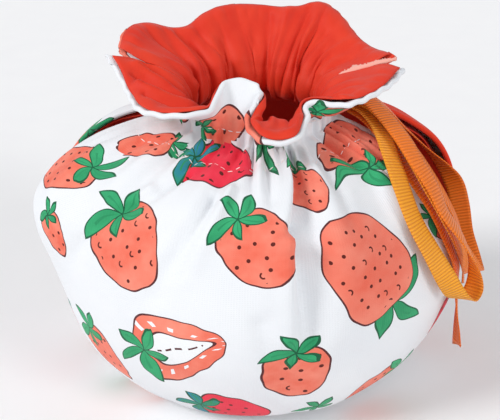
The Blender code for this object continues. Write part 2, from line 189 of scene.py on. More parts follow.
# Creases in the covers. Each runs straight between two places on a panel: across and along
# of its start, the same of its end, half width, height in millimetres, below 0 where it
# sinks in. A crease widens and fades towards its end
PANEL_HALF = 110.0
CREASE_START, CREASE_WIDENS, CREASE_FADES = 0.7, 0.6, 0.4
CREASES = {
    "front": (
        (0.27, 176, 0.135, 128, 2.6, -7), (0.135, 128, 0.16, 72, 2.8, -6.4),
        (0.22, 174, 0.095, 122, 3.6, 5.4), (0.095, 122, 0.125, 78, 3.8, 4.6),
        (0.31, 172, 0.19, 132, 3.2, -2.6), (0.34, 172, 0.24, 112, 5, 2.4),
        (0.4, 172, 0.36, 126, 3.4, -2.8), (0.1, 176, 0.07, 146, 2.6, -2.2),
        (0.045, 176, 0.015, 150, 2.4, 1.6), (-0.02, 177, -0.03, 152, 2.2, -2),
        (-0.075, 176, -0.11, 140, 2.6, 1.5), (-0.13, 174, -0.24, 108, 4.2, -2.6),
        (-0.21, 168, -0.34, 100, 6, 1.6), (-0.36, 170, -0.42, 140, 3.4, -2),
        (-0.5, 170, -0.53, 128, 4.2, -2.3), (-0.6, 165, -0.6, 110, 6.5, 1.8),
        (-0.72, 162, -0.68, 92, 5, -2.6), (-0.84, 150, -0.78, 104, 5, 1.4),
        (0.49, 172, 0.46, 140, 4.5, 1.8), (0.58, 172, 0.53, 126, 3.8, -2.6),
        (0.68, 168, 0.62, 120, 5.5, 1.8), (0.78, 166, 0.71, 122, 4, -2.4),
        (-0.34, 156, -0.5, 132, 3.2, -3.4), (-0.46, 142, -0.62, 112, 4.2, 3.4),
        (-0.5, 132, -0.66, 96, 3.4, -3.2), (-0.18, 146, -0.31, 92, 3.4, -3),
        (-0.11, 150, -0.22, 104, 3.6, 2.8), (0.02, 84, 0.1, 40, 5, -1.8),
        (0.16, 74, 0.22, 44, 5, 1.6), (-0.34, 60, -0.1, 36, 7, -1.6),
        (0.3, 66, 0.44, 26, 7, -1.3), (0.05, 34, 0.22, 8, 5, -0.9), (-0.46, 30, -0.3, 6, 5, -0.9),
        (0.55, 208, 0.92, 208, 8, 4), (-0.92, 206, -0.6, 206, 8, 1.5),
    ),
    "back": (
        (-0.8, 168, -0.74, 120, 4, -2.2), (-0.66, 174, -0.6, 106, 4.5, -3),
        (-0.52, 172, -0.5, 130, 4.5, 2), (-0.37, 176, -0.4, 122, 3.6, -2.8),
        (-0.22, 172, -0.24, 120, 4.5, 1.8), (-0.08, 176, -0.05, 92, 4.5, -3.4),
        (0.06, 174, 0.09, 128, 4.5, 2), (0.2, 176, 0.26, 120, 3.6, -2.8),
        (0.34, 172, 0.34, 130, 4.5, 1.6), (0.47, 176, 0.44, 98, 4.5, -3.2),
        (0.6, 172, 0.58, 128, 4.5, 1.8), (0.74, 172, 0.67, 126, 4, -2.6),
        (-0.2, 60, 0.05, 34, 7, -1.2), (0.3, 40, 0.5, 20, 6, -1), (-0.55, 46, -0.4, 16, 6, -1),
    ),
}

# The same for the linings, where a positive rise stands out of the collar's inner side
LINING_CREASES = {
    "front": (
        (-0.97, 208, -0.82, 182, 2.2, -3.2), (-0.94, 214, -0.72, 184, 2.8, 3.4),
        (-0.88, 217, -0.63, 184, 2.2, -3.4), (-0.8, 217, -0.53, 186, 3, 3.2),
        (-0.72, 216, -0.46, 190, 2.2, -3), (-0.6, 206, -0.4, 214, 2.4, -1.4),
        (-0.3, 184, -0.33, 206, 2.4, 1.6), (0.1, 184, 0.06, 206, 2.4, -1.8),
        (0.2, 184, 0.17, 210, 2.6, 2), (0.3, 186, 0.27, 206, 2.2, -1.8),
        (0.62, 186, 0.56, 206, 2.4, 1.6), (0.76, 186, 0.72, 212, 2.6, -1.8),
    ),
    "back": (
        (-0.86, 184, -0.92, 208, 2.8, 2.6), (-0.74, 182, -0.72, 214, 2.6, -2.6),
        (-0.62, 180, -0.55, 212, 3.2, 3.2), (-0.5, 180, -0.44, 206, 2.2, -2.8),
        (-0.4, 180, -0.32, 204, 2.8, 2.4), (-0.27, 180, -0.23, 200, 2.2, -2.4),
        (-0.05, 182, -0.03, 204, 2.8, 1.8), (0.12, 180, 0.13, 214, 2.6, -2.8),
        (0.21, 180, 0.24, 220, 3.2, 3), (0.29, 180, 0.36, 216, 2.2, -3.4),
        (0.38, 180, 0.46, 212, 3, 3), (0.5, 180, 0.57, 208, 2.4, -3),
        (0.62, 182, 0.72, 210, 2.8, 2.6), (0.78, 184, 0.84, 206, 2.4, -2.4),
    ),
}

# Printed motifs. across and along: its middle, turn: of the stalk from straight up,
# towards the spout side, half: half its length in millimetres, wide: share of full width
CORAL, CRIMSON, HALVED, BARE, LEAVES = 1, 2, 3, 4, 5
Motif = namedtuple("Motif", "kind across along turn half wide")
FRONT_MOTIFS = [Motif(*row) for row in (
    (CORAL, -0.45, 113, 46, 24, 1.05), (CORAL, 0, 121, 32, 21.5, 1.08),
    (BARE, 0.38, 103, -148, 30.5, 1.02), (HALVED, -0.25, 68, 108, 26.5, 0.86),
    (CORAL, 0.13, 57, 4, 16.5, 1.3), (CRIMSON, -0.09, 27, 75, 20, 0.95),
    (CRIMSON, -0.235, 167, 84, 19, 1.15), (BARE, -0.675, 163, -60, 14.5, 1.05),
    (CORAL, -0.86, 134, -52, 21, 0.85), (CORAL, -0.745, 104, 24, 13, 0.6),
    (CORAL, -0.58, 47, 30, 20, 0.9), (BARE, 0.245, 150, 0, 17, 0.8),
    (CORAL, 0.68, 162, 160, 21, 0.95), (CRIMSON, 0.8, 60, -24, 16, 0.95),
    (CORAL, 0.5, 28, -60, 19, 0.95), (HALVED, 0.86, 112, 60, 17, 0.8),
    (LEAVES, 0.26, 18, 20, 14, 1), (CORAL, -0.3, 191, 95, 11.5, 1.1),
    (CORAL, 0.66, 204, 60, 14, 1.1), (CRIMSON, -0.88, 46, -20, 18, 0.95),
    (HALVED, -0.62, 14, 60, 18, 0.8), (CORAL, -0.72, 200, 120, 15, 1),
    (BARE, 0.08, 205, 180, 12, 1),
)]
BERRY_REACH, CROWN_REACH, STALK_UP = 0.95, 0.88, 0.68
MOTIF_SHIFT = (1.9, 0.4)
MEASURE_ACROSS, MEASURE_ALONG = 0.03, 5.0
GATHERED_FLAT = 98.0

# Half-drop repeat of the back panel: columns and rows, where it starts and how far apart
REPEATS = (6, 5)
REPEAT_FROM = (-0.92, 20.0)
REPEAT_ACROSS, REPEAT_ALONG = 0.37, 52.0

# Seams, as distances up the cloth: the panels are sewn together up to the slots, and from
# the casing to just under the rim, where a notch is left. Reach: the share of a panel that
# a seam draws over. Pull: how far an edge goes to the other, where a half would meet it
SIDE_SEAM = (46.0, 56.0)
SEAM_FROM, SEAM_WHOLE, NOTCH_FROM = 171.0, 181.0, 206.0
SEAM_REACH, SEAM_PULL = 0.24, 0.49
LINING_SEAM_REACH, LINING_SEAM_PULL = 0.12, 0.51

# The lining turned out over the back panel's edge at the handle slot: from and to, as
# distances up the cloth, over what length it starts and ends, and its columns of the grid
FACED_ALONG = (58.0, 176.0)
FACED_EASES = (46.0, 12.0)
FACED_FROM, FACED_COLUMNS = -2.0, 12.0
NOT_FACED = -9.0

# Grid of the cloth, roll of its edges and casing, in millimetres
CLOTH_MM = 0.5
ROLL_MM = 1.35
ROLL_STEPS = 7
TUCK_STEPS = 3
TUCK_MM = 4.0
COLUMNS = 200
ROWS = 136
EDGE_PROBE = 0.03
INSET_MOST = 0.06
CASING_LINES = (165.0, 187.0)

# Fine relief of the covers, in millimetres: pleats at the neck, casing seams, unevenness of
# the padding and puckers at the rim. Pairs are a middle value and how far it varies
PLEATS = 19
PLEAT_HIGH = 1.4
PLEAT_DEPTH, PLEAT_RUN = (0.9, 0.45), (25.0, 9.0)
PLEAT_RUN_ABOVE = 16.0
PLEAT_ENDS, PLEAT_END_EASE = 0.90, 0.09
CASING_SINKS, CASING_HALF = 0.7, 1.3
PADDING_UNEVEN, PADDING_SIZE, PADDING_FROM = 0.6, 24.0, 30.0
RIM_PUCKERS, RIM_PUCKER_HIGH, RIM_PUCKER_REACH = 26, 0.35, 5.0

# The same for the linings, whose edges lie under the rolled edges of the covers
LINING_SIDE = 0.985
LINING_SHORT = 1.6
LINING_PLEATS = 13
LINING_PLEAT_DEEP = {"front": 2.0, "back": 3.6}
LINING_PLEAT_RUN = (0.75, 0.35)
PLEAT_SHARPNESS = 0.8
PUFF_HIGH, PUFF_BELOW_RIM, PUFF_HALF, PUFFS = 1.5, 7.5, 4.2, 11
RIM_SEAM_SINKS = 0.55
LINING_UNEVEN, LINING_UNEVEN_SIZE = 0.7, 11.0
SLOT_ALONG, SLOT_HALF, SLOT_REACH, SLOT_PUFF = 128.0, 34.0, 0.14, (2.6, 0.9)
LINING_CASING_SINKS, LINING_CASING_HALF = 0.4, 1.4
LINING_CLOSEST = 2.2

# Stitches of the casing, in millimetres
STITCH_LONG = 2.6
STITCH_EVERY = 4.0
STITCH_STATIONS = 700
STITCH_TO_ACROSS = 0.88
STITCH_WAVERS = 0.5
STITCH_LIES_OUT = 0.12
THREAD_HALF = 0.28

# Frayed seam allowance in the notch on the handle side, in millimetres
ALLOWANCE_ALONG = (189.0, 222.5)
ALLOWANCE_ROWS, ALLOWANCE_COLUMNS = 70, 6
ALLOWANCE_WIDE = 4.0
ALLOWANCE_RAGGED = 1.3
ALLOWANCE_OVER, ALLOWANCE_ARCH = 0.9, 1.1
ALLOWANCE_ROOT = 0.6
ALLOWANCE_CHANCE = 7
FRAY_LONG = 2.2
FRAY_HALF = 0.09
FRAY_COUNT = 150

# The knot's middle and half sizes, in millimetres, and how much its wound turns stand out
KNOT_PLACE = (47.0, -2.0, 144.0)
KNOT_HALF = (6.84, 6.27, 5.51)
KNOT_SMALLEST, KNOT_TURNS_RISE = 0.84, 0.20
# Painted light on the knot: how far its ribbon colour is painted lit rather than in shade
KNOT_PAINTED_LIGHT = 0.45

# Strand rows to a bend of the table, columns, and how far the ribbon's edges curl
STRAND_ROWS, STRAND_COLUMNS = 9, 7
RIBBON_CURL = 0.35
TAIL_SLANT = 2.0

# Painted light along each strand, over the share of its length: near 1 the strand is painted lit,
# near 0 in shade
STRAND_PAINTED_LIGHT = {
    "near_loop": ((0.0, 0.12, 0.45, 0.52, 0.7, 1.0), (0.7, 0.9, 1.0, 0.6, 0.3, 0.3)),
    "far_loop": ((0.0, 0.15, 0.4, 0.6, 1.0), (0.85, 0.8, 0.35, 0.25, 0.1)),
    "long_tail": ((0.0, 0.5, 1.0), (0.3, 0.15, 0.1)),
    "short_tail": ((0.0, 0.5, 1.0), (0.4, 0.3, 0.2)),
}

# Outlines of the printed drawings as radius over turn. The turn runs once round from the
# tip, or from below the stalk, with the stalk at one half
BERRY_OUTLINE = (
    (0.0, 0.97), (0.06, 0.93), (0.15, 0.84), (0.25, 0.80), (0.34, 0.86), (0.42, 0.86),
    (0.5, 0.76), (0.58, 0.83), (0.66, 0.84), (0.75, 0.77), (0.85, 0.82), (0.94, 0.92),
    (1.0, 0.97),
)
LEAF_LENGTHS = (
    (0.0, 0.42), (0.1, 0.50), (0.2, 0.78), (0.3, 0.84), (0.42, 0.62), (0.5, 0.70),
    (0.6, 0.80), (0.7, 0.64), (0.8, 0.86), (0.9, 0.58), (1.0, 0.42),
)
LINE_HALF_MM = 0.42
LINE_WOBBLE = 0.26
SEED_APART_MM = 7.0
SEED_DOT, SEED_RING, SEED_RING_HALF = 0.125, 0.18, 0.055
SEEDS_DOTTED = 0.85
LEAF_COUNT = 5
PIP_COUNT = 16

# Threads and ribs, in millimetres, are coarser than real ones so that they show: the cover's
# threads and the ribs about three times, the lining's threads about twice. A wave texture
# of scale pi has a band a millimetre on a map of ten millimetres a unit
BANDS_A_MM = pi
COVER_THREAD_MM = 0.8883
LINING_THREAD_MM = 0.6909
RIB_MM = 1.6
# Painted light by the height of a rib: painted shade in the grooves, painted highlight on the tops
RIB_PAINTED_LIGHT = ((0.0, 0.35), (0.3, 0.9), (0.5, 1.0), (1.0, 1.0))

# Stage, in metres: a floor, two wide suns as name, direction and strength, an even sky
FLOOR_HALF = 12.0
FLOOR_UNDER = 0.0003
SUNS = (("key", (-0.90, -0.42, 0.68), 1.6), ("fill", (0.80, -0.75, 0.47), 0.80))
SUN_ANGLE = 20
SKY_STRENGTH = 0.58

# The photograph's view: degrees down, distance from and height of the place looked at,
# focal length and width of the frame in pixels, width of the sensor in millimetres
VIEW_DOWN = 23.5
VIEW_AWAY, VIEW_HEIGHT = 0.6, 0.083
FOCAL_PIXELS, FRAME_PIXELS, SENSOR_MM = 1170.0, 500.0, 36.0
VIEW_SHIFT = -0.01


def linear(code):
    """An sRGB hex colour as linear red, green and blue."""
    parts = (int(code[i:i + 2], 16) / 255 for i in (1, 3, 5))
    return tuple(c / 12.92 if c <= 0.04045 else ((c + 0.055) / 1.055) ** 2.4 for c in parts)


def through(rows, at):
    """Smooth curve through table rows whose first column is the station."""
    table = np.array(rows, float)
    station, value = table[:, 0], table[:, 1:]
    step = np.diff(station)[:, None]
    slope = np.diff(value, axis=0) / step
    inner = (slope[:-1] * step[1:] + slope[1:] * step[:-1]) / (step[1:] + step[:-1])
    tangent = np.concatenate([slope[:1], inner, slope[-1:]])
    at = np.clip(np.asarray(at, float), station[0], station[-1])
    i = np.clip(np.searchsorted(station, at, side="right") - 1, 0, len(station) - 2)
    w = step[i, 0]
    s = ((at - station[i]) / w)[..., None]
    w = w[..., None]
    return (
        value[i] * (1 + 2 * s) * (1 - s) ** 2
        + value[i + 1] * (3 - 2 * s) * s ** 2
        + tangent[i] * w * s * (1 - s) ** 2
        + tangent[i + 1] * w * (s - 1) * s ** 2
    )


def eased(share):
    """0 to 1 with level ends."""
    share = np.clip(share, 0.0, 1.0)
    return share * share * (3 - 2 * share)


def bell(away, wide):
    """A smooth hump over a distance: 1 in its middle, and almost 0 at twice its half width."""
    return np.exp(-((away / wide) ** 2))


def unit(vectors):
    """Vectors of length one."""
    return vectors / np.maximum(np.linalg.norm(vectors, axis=-1, keepdims=True), 1e-9)


def fold_rise(panel, across, along):
    """How far the folds stand out from the plain body."""
    rise = 0 * across
    for at_neck, at_end, reaches, wide, high in FOLDS[panel]:
        down = np.clip((NECK_ALONG - along) / reaches, 0.0, 1.0)
        middle = at_neck + (at_end - at_neck) * down
        swell = np.sin(pi * (FOLD_AT_NECK + (1 - FOLD_AT_NECK) * down))
        rise = rise + high * swell * bell(across - middle, wide * (1 + FOLD_WIDENS * down))
    return rise


def body_places(panel, across, along):
    """Outer face of a panel from the hem to the neck, as right, apart and height."""
    turn = across * pi / 2
    profile = through(PROFILE, along)
    near_neck = eased((along - TILT_FROM_ALONG) / (NECK_ALONG - TILT_FROM_ALONG))
    front = 1.0 if panel == "front" else -1.0
    lift = -front * NECK_TILT * np.cos(turn) * near_neck
    reach = profile[..., 0] + fold_rise(panel, across, along)
    place = np.stack([reach * np.sin(turn), reach * np.cos(turn), profile[..., 1] + lift], -1)
    for side, sign in (("spout", -1.0), ("handle", 1.0)):
        edge = through(EDGES[panel, side], along)
        target = np.stack([sign * edge[..., 0], edge[..., 1], edge[..., 2]], -1)
        plain = np.stack([sign * profile[..., 0], 0 * along, profile[..., 1]], -1)
        pull = eased((sign * across - EDGE_PULL_FROM) / (1 - EDGE_PULL_FROM))
        place = place + (target - plain) * pull[..., None]
    return place


def gather_rise(panel, across, along):
    """How far the small gathers stand out, most at the neck."""
    drift = np.sin(GATHER_DRIFT * across + GATHER_START[panel])
    phase = pi * GATHER_COUNT * across + 2 * pi * GATHER_UNEVEN * drift
    below = bell(np.minimum(along - NECK_ALONG, 0.0), GATHER_RUN)
    above = 1 - eased(GATHER_FADE[panel] * (along - NECK_ALONG) / (RIM_ALONG - NECK_ALONG))
    fade_from, fade_to = GATHER_ENDS
    inside = 1 - eased((np.abs(across) - fade_from) / (fade_to - fade_from))
    return GATHER_DEEP * np.sin(phase) * below * above * inside


def collar_places(panel, across, along):
    """Outer face of a panel from the neck to the rim."""
    neck = body_places(panel, across, 0 * along + NECK_ALONG)
    rim = through(RIMS[panel], across)
    share = ((along - NECK_ALONG) / (RIM_ALONG - NECK_ALONG))[..., None]
    up = np.array([0.0, 0.0, 1.0])
    out = unit(neck * np.array([1.0, 1.0, 0.0]))
    rise = neck + up * COLLAR_RISE - out * COLLAR_DRAW_IN
    turn_out = rim + (neck - rim) * COLLAR_LEAN_BACK + up * COLLAR_RIM_LIFT
    return (
        neck * (1 - share) ** 3
        + 3 * rise * share * (1 - share) ** 2
        + 3 * turn_out * share ** 2 * (1 - share)
        + rim * share ** 3
    )


def panel_places(panel, across, along):
    """Outer face of a panel in the part's axes, in millimetres, as the part has it."""
    body = body_places(panel, across, np.minimum(along, NECK_ALONG))
    collar = collar_places(panel, across, np.maximum(along, NECK_ALONG))
    place = np.where((along > NECK_ALONG)[..., None], collar, body)
    out = unit(place * np.array([1.0, 1.0, 0.0]))
    place = place + out * gather_rise(panel, across, along)[..., None]
    if panel == "front":
        place = place * np.array([1.0, -1.0, 1.0])
    return place + np.array([AXIS_RIGHT, 0.0, 0.0])


def sewn_share(along):
    """How far the side edges are drawn together, from 0 to 1."""
    notch = eased((along - NOTCH_FROM) / (RIM_ALONG - NOTCH_FROM))
    collar = eased((along - SEAM_FROM) / (SEAM_WHOLE - SEAM_FROM)) * (1 - notch)
    below_slot = 1 - eased((along - SIDE_SEAM[0]) / (SIDE_SEAM[1] - SIDE_SEAM[0]))
    return collar + below_slot


def sewn_places(panel, across, along):
    """Outer face of a panel with its side edges sewn to the other panel's."""
    place = panel_places(panel, across, along)
    other = "back" if panel == "front" else "front"
    for side in (-1.0, 1.0):
        edge = panel_places(panel, side + 0 * across, along)
        facing = panel_places(other, side + 0 * across, along)
        pull = eased(1 - (1 - side * across) / SEAM_REACH) * sewn_share(along)
        place = place + (facing - edge) * (SEAM_PULL * pull)[..., None]
    return place


def grid_normals(panel, place, reach=1):
    """Directions out of a grid of places whose rows run up the cloth, smoothed over reach."""
    tangent = np.gradient(place, axis=1)
    rising = np.gradient(place, axis=0)
    normal = np.cross(tangent, rising)
    if panel == "back":
        normal = -normal
    for _ in range(reach - 1):
        normal = unit(normal)
        padded = np.pad(normal, ((1, 1), (1, 1), (0, 0)), mode="edge")
        normal = (padded[:-2, 1:-1] + padded[2:, 1:-1] + padded[1:-1, :-2]
                  + padded[1:-1, 2:] + 2 * normal)
    return unit(normal)


def uneven(across, along, size, start):
    """Smooth unevenness between about -1 and 1, with bumps of that size in millimetres."""
    x, y = across * PANEL_HALF / size, along / size
    waves = 0 * x
    for i in range(5):
        turn = start + 2.4 * i
        waves = waves + np.sin((x * cos(turn) + y * sin(turn)) * (2.1 + 0.37 * i) + 5.3 * turn)
    return waves / 3.0


def creased(creases, across, along):
    """How far a table of creases stands out or sinks in."""
    rise = 0 * across
    for from_across, from_along, to_across, to_along, wide, high in creases:
        x, y = (across - from_across) * PANEL_HALF, along - from_along
        run_x, run_y = (to_across - from_across) * PANEL_HALF, to_along - from_along
        share = np.clip((x * run_x + y * run_y) / (run_x ** 2 + run_y ** 2), 0.0, 1.0)
        away = np.hypot(x - share * run_x, y - share * run_y)
        hump = bell(away, wide * (CREASE_START + CREASE_WIDENS * share))
        rise = rise + high * hump * (1 - CREASE_FADES * share)
    return rise


def fine_rise(panel, across, along):
    """Gathers, stitched casing, creases and unevenness of a cover, in millimetres."""
    start = GATHER_START[panel]
    phase = pi * PLEATS * across + 1.7 * np.sin(7.3 * across + start) + 0.9 * np.sin(19 * across)
    depth = PLEAT_DEPTH[0] + PLEAT_DEPTH[1] * np.sin(11.0 * across + start)
    run = PLEAT_RUN[0] + PLEAT_RUN[1] * np.sin(8.3 * across + 2 * start)
    below = bell(np.minimum(along - NECK_ALONG, 0.0), run)
    above = bell(np.maximum(along - NECK_ALONG, 0.0), PLEAT_RUN_ABOVE)
    inside = 1 - eased((np.abs(across) - PLEAT_ENDS) / PLEAT_END_EASE)
    pleat = 2 * np.abs(np.sin(phase / 2)) - 1.1
    rise = PLEAT_HIGH * depth * pleat * below * above * inside
    for line in CASING_LINES:
        rise = rise - CASING_SINKS * bell(along - line, CASING_HALF) * inside
    rise = rise + creased(CREASES[panel], across, along)
    padding = PADDING_UNEVEN * uneven(across, along, PADDING_SIZE, start)
    rise = rise + padding * eased(along / PADDING_FROM)
    pucker = RIM_PUCKER_HIGH * np.sin(pi * RIM_PUCKERS * across + 2 * np.sin(9 * across))
    return rise + pucker * bell(RIM_ALONG - along, RIM_PUCKER_REACH)


def cover_grid(panel):
    """Outer cloth of a panel with its rolled edges, and across and along of each place."""
    u = np.linspace(-1.0, 1.0, COLUMNS)
    v = np.linspace(ROLL_MM, RIM_ALONG - ROLL_MM, ROWS)
    insets = []
    for side in (-1.0, 1.0):
        edge = panel_places(panel, side + 0 * v, v)
        inner = panel_places(panel, (1 - EDGE_PROBE) * side + 0 * v, v)
        apart = np.maximum(np.linalg.norm(edge - inner, axis=-1), 0.3)
        insets.append(ROLL_MM * EDGE_PROBE / apart[:, None])
    along = np.repeat(v[:, None], COLUMNS, axis=1)
    across = u[None] * (1 - np.minimum(np.where(u[None] < 0, *insets), INSET_MOST))
    place = sewn_places(panel, across, along)
    normal = grid_normals(panel, place, 3)
    place = place + normal * fine_rise(panel, across, along)[..., None]
    normal = grid_normals(panel, place)
    return rolled(place, normal, across, along)


def rolled(place, normal, across, along):
    """Adds edges that roll over to the inner side and tuck under it."""
    turns = [(pi * (i + 1) / ROLL_STEPS, 0.0) for i in range(ROLL_STEPS)]
    turns += [(pi, TUCK_MM * (i + 1) / TUCK_STEPS) for i in range(TUCK_STEPS)]

    def moved(turn, tuck, way):
        return way * (ROLL_MM * sin(turn) - tuck)

    sunk = [0.0] * place.shape[1]
    columns = [place]
    for side in (0, -1):
        way = unit(place[:, side] - place[:, 1 if side == 0 else -2])
        strip = [place[:, side] + moved(t, k, way) - normal[:, side] * ROLL_MM * (1 - cos(t))
                 for t, k in turns]
        strip = np.stack(strip, axis=1)
        columns = [strip[:, ::-1], *columns] if side == 0 else [*columns, strip]
    drop = [1 - cos(t) for t, _ in turns]
    sunk = np.array([*drop[::-1], *sunk, *drop])
    count = len(turns)
    place = np.concatenate(columns, axis=1)
    run = np.array([ROLL_MM * t + k for t, k in turns])
    edges = ((0, 0), (count, count))
    normal = np.pad(normal, (*edges, (0, 0)), mode="edge")
    across = np.pad(across, edges, mode="edge")
    across[:, :count] -= run[::-1] / PANEL_HALF
    across[:, -count:] += run / PANEL_HALF
    along = np.pad(along, edges, mode="edge")
    rows = [place]
    for side in (0, -1):
        way = unit(place[side] - place[1 if side == 0 else -2])
        strip = []
        for t, k in turns:
            extra = np.maximum(1 - cos(t) - sunk, 0.0)[:, None]
            strip.append(place[side] + moved(t, k, way) - normal[side] * ROLL_MM * extra)
        strip = np.stack(strip, axis=0)
        rows = [strip[::-1], *rows] if side == 0 else [*rows, strip]
    edges = ((count, count), (0, 0))
    across = np.pad(across, edges, mode="edge")
    along = np.pad(along, edges, mode="edge")
    along[:count] -= run[::-1, None]
    along[-count:] += run[:, None]
    return np.concatenate(rows, axis=0), across, along


def sewn_linings():
    """Both linings with their collar edges drawn together after they are offset."""
    grids = {panel: lining_grid(panel) for panel in ("front", "back")}
    sewn = {}
    for panel, other in (("front", "back"), ("back", "front")):
        place, across, along = grids[panel]
        facing = grids[other][0]
        moved = place
        for side, sign in ((0, -1.0), (-1, 1.0)):
            gap = facing[:, side] - place[:, side]
            pull = eased(1 - (1 - sign * across) / LINING_SEAM_REACH) * sewn_share(along)
            moved = moved + gap[:, None] * (LINING_SEAM_PULL * pull)[..., None]
        sewn[panel] = moved, across, along
    return sewn


def lining_grid(panel):
    """Lining of a panel under its cover, with pleats and puckers, and its across and along."""
    u = np.linspace(-LINING_SIDE, LINING_SIDE, COLUMNS)
    v = np.linspace(LINING_FROM, RIM_ALONG - LINING_SHORT, ROWS)
    across, along = np.meshgrid(u, v)
    place = sewn_places(panel, across, along)
    normal = grid_normals(panel, place, 5)
    sunk = np.minimum(creased(CREASES[panel], across, along), 0.0)
    place = place + normal * sunk[..., None]
    start = GATHER_START[panel]
    share = (along - NECK_ALONG) / (RIM_ALONG - NECK_ALONG)
    drift = 2.2 * np.sin(6.1 * across + start) + 1.2 * np.sin(15 * across)
    pleat = np.abs(np.sin((pi * LINING_PLEATS * across + drift) / 2)) ** PLEAT_SHARPNESS
    run = LINING_PLEAT_RUN[0] + LINING_PLEAT_RUN[1] * np.sin(9.0 * across + 1.7 * start)
    upper = np.where(share > 0, np.clip(1 - share / run, 0.0, 1.0) ** PLEAT_SHARPNESS,
                     bell(np.minimum(share, 0), 0.5))
    puffs = 0.55 + 0.45 * np.abs(np.sin(pi * PUFFS * across + 2 * np.sin(7 * across)))
    puffed = PUFF_HIGH * bell(RIM_ALONG - PUFF_BELOW_RIM - along, PUFF_HALF) * puffs
    seam = RIM_SEAM_SINKS * bell(RIM_ALONG - LINING_SHORT - along, LINING_SHORT)
    rough = LINING_UNEVEN * (1 + uneven(across, along, LINING_UNEVEN_SIZE, start))
    under = LINING_UNDER + LINING_PLEAT_DEEP[panel] * pleat * upper + puffed - seam
    under = under + rough * eased(share * 3) + creased(LINING_CREASES[panel], across, along)
    if panel == "back":
        slot_edge = bell(1 - across, SLOT_REACH) * bell(along - SLOT_ALONG, SLOT_HALF)
        puff = SLOT_PUFF[0] + SLOT_PUFF[1] * np.sin(along / 5.0 + 9 * across)
        under = under + slot_edge * puff
    for line in CASING_LINES:
        under = under - LINING_CASING_SINKS * bell(along - line, LINING_CASING_HALF)
    return place - normal * np.maximum(under, LINING_CLOSEST)[..., None], across, along


def finished(bm, name, finish):
    """A smooth object from a mesh under work, in the scene with its material."""
    mesh = bpy.data.meshes.new(name)
    bm.to_mesh(mesh)
    bm.free()
    mesh.shade_smooth()
    mesh.materials.append(finish)
    piece = bpy.data.objects.new(name, mesh)
    bpy.context.scene.collection.objects.link(piece)
    return piece


def coordinates(mesh):
    """The places of a mesh's vertices, in rows."""
    flat = np.zeros(len(mesh.vertices) * 3)
    mesh.vertices.foreach_get("co", flat)
    return flat.reshape(-1, 3)


def run_lengths(places):
    """How far along a row of places each one lies."""
    return np.concatenate([[0], np.cumsum(np.linalg.norm(np.diff(places, axis=0), axis=1))])


def laid(middle, way, shape):
    """Puts a unit shape, stretched, at a place in millimetres with its own z along a way."""
    turn = Vector(way).to_track_quat("Z", "Y").to_matrix().to_4x4()
    return (Matrix.Scale(MM, 4) @ Matrix.Translation(Vector(middle)) @ turn
            @ Matrix.Diagonal((*shape, 1.0)))


def cloth_piece(name, places, finish, thick):
    """A sheet through a grid of places in millimetres, finished on its inner side."""
    rows, columns = places.shape[:2]
    bm = bmesh.new()
    bmesh.ops.create_grid(bm, x_segments=columns - 1, y_segments=rows - 1, size=1.0)
    piece = finished(bm, name, finish)
    flat = coordinates(piece.data)
    column = np.rint((flat[:, 0] + 1) / 2 * (columns - 1)).astype(int)
    row = np.rint((flat[:, 1] + 1) / 2 * (rows - 1)).astype(int)
    piece.data.vertices.foreach_set("co", (places[row, column] * MM).ravel())
    piece.data.update()
    wall = piece.modifiers.new("thickness", "SOLIDIFY")
    wall.thickness = thick * MM
    wall.offset = -1.0
    return piece, row, column


def lay_uv(mesh, name, values):
    """A UV map from two values for each corner."""
    layer = mesh.uv_layers.new(name=name)
    layer.data.foreach_set("uv", values.astype(np.float32).ravel())


def lay_values(mesh, name, values, domain="POINT"):
    """An attribute with one value for each vertex or face."""
    layer = mesh.attributes.new(name, "FLOAT", domain)
    layer.data.foreach_set("value", values.astype(np.float32))


def corner_vertices(mesh):
    """The vertex of each corner."""
    index = np.zeros(len(mesh.loops), dtype=int)
    mesh.loops.foreach_get("vertex_index", index)
    return index


def back_motifs():
    """A half-drop repeat over the back panel."""
    kinds = (CORAL, HALVED, CORAL, CRIMSON, BARE, CORAL)
    found = []
    for i in range(REPEATS[0]):
        for j in range(REPEATS[1]):
            across = REPEAT_FROM[0] + REPEAT_ACROSS * i
            along = REPEAT_FROM[1] + REPEAT_ALONG * (j + 0.5 * (i % 2))
            kind = kinds[(i * 2 + j * 3) % len(kinds)]
            turn = (40 * i + 75 * j) % 120 - 60 + (90 if kind == HALVED else 0)
            wide = 0.80 if kind == HALVED else 0.95
            found.append(Motif(kind, across, along, turn, 15.0 + 3.0 * ((i + j) % 3), wide))
    return found


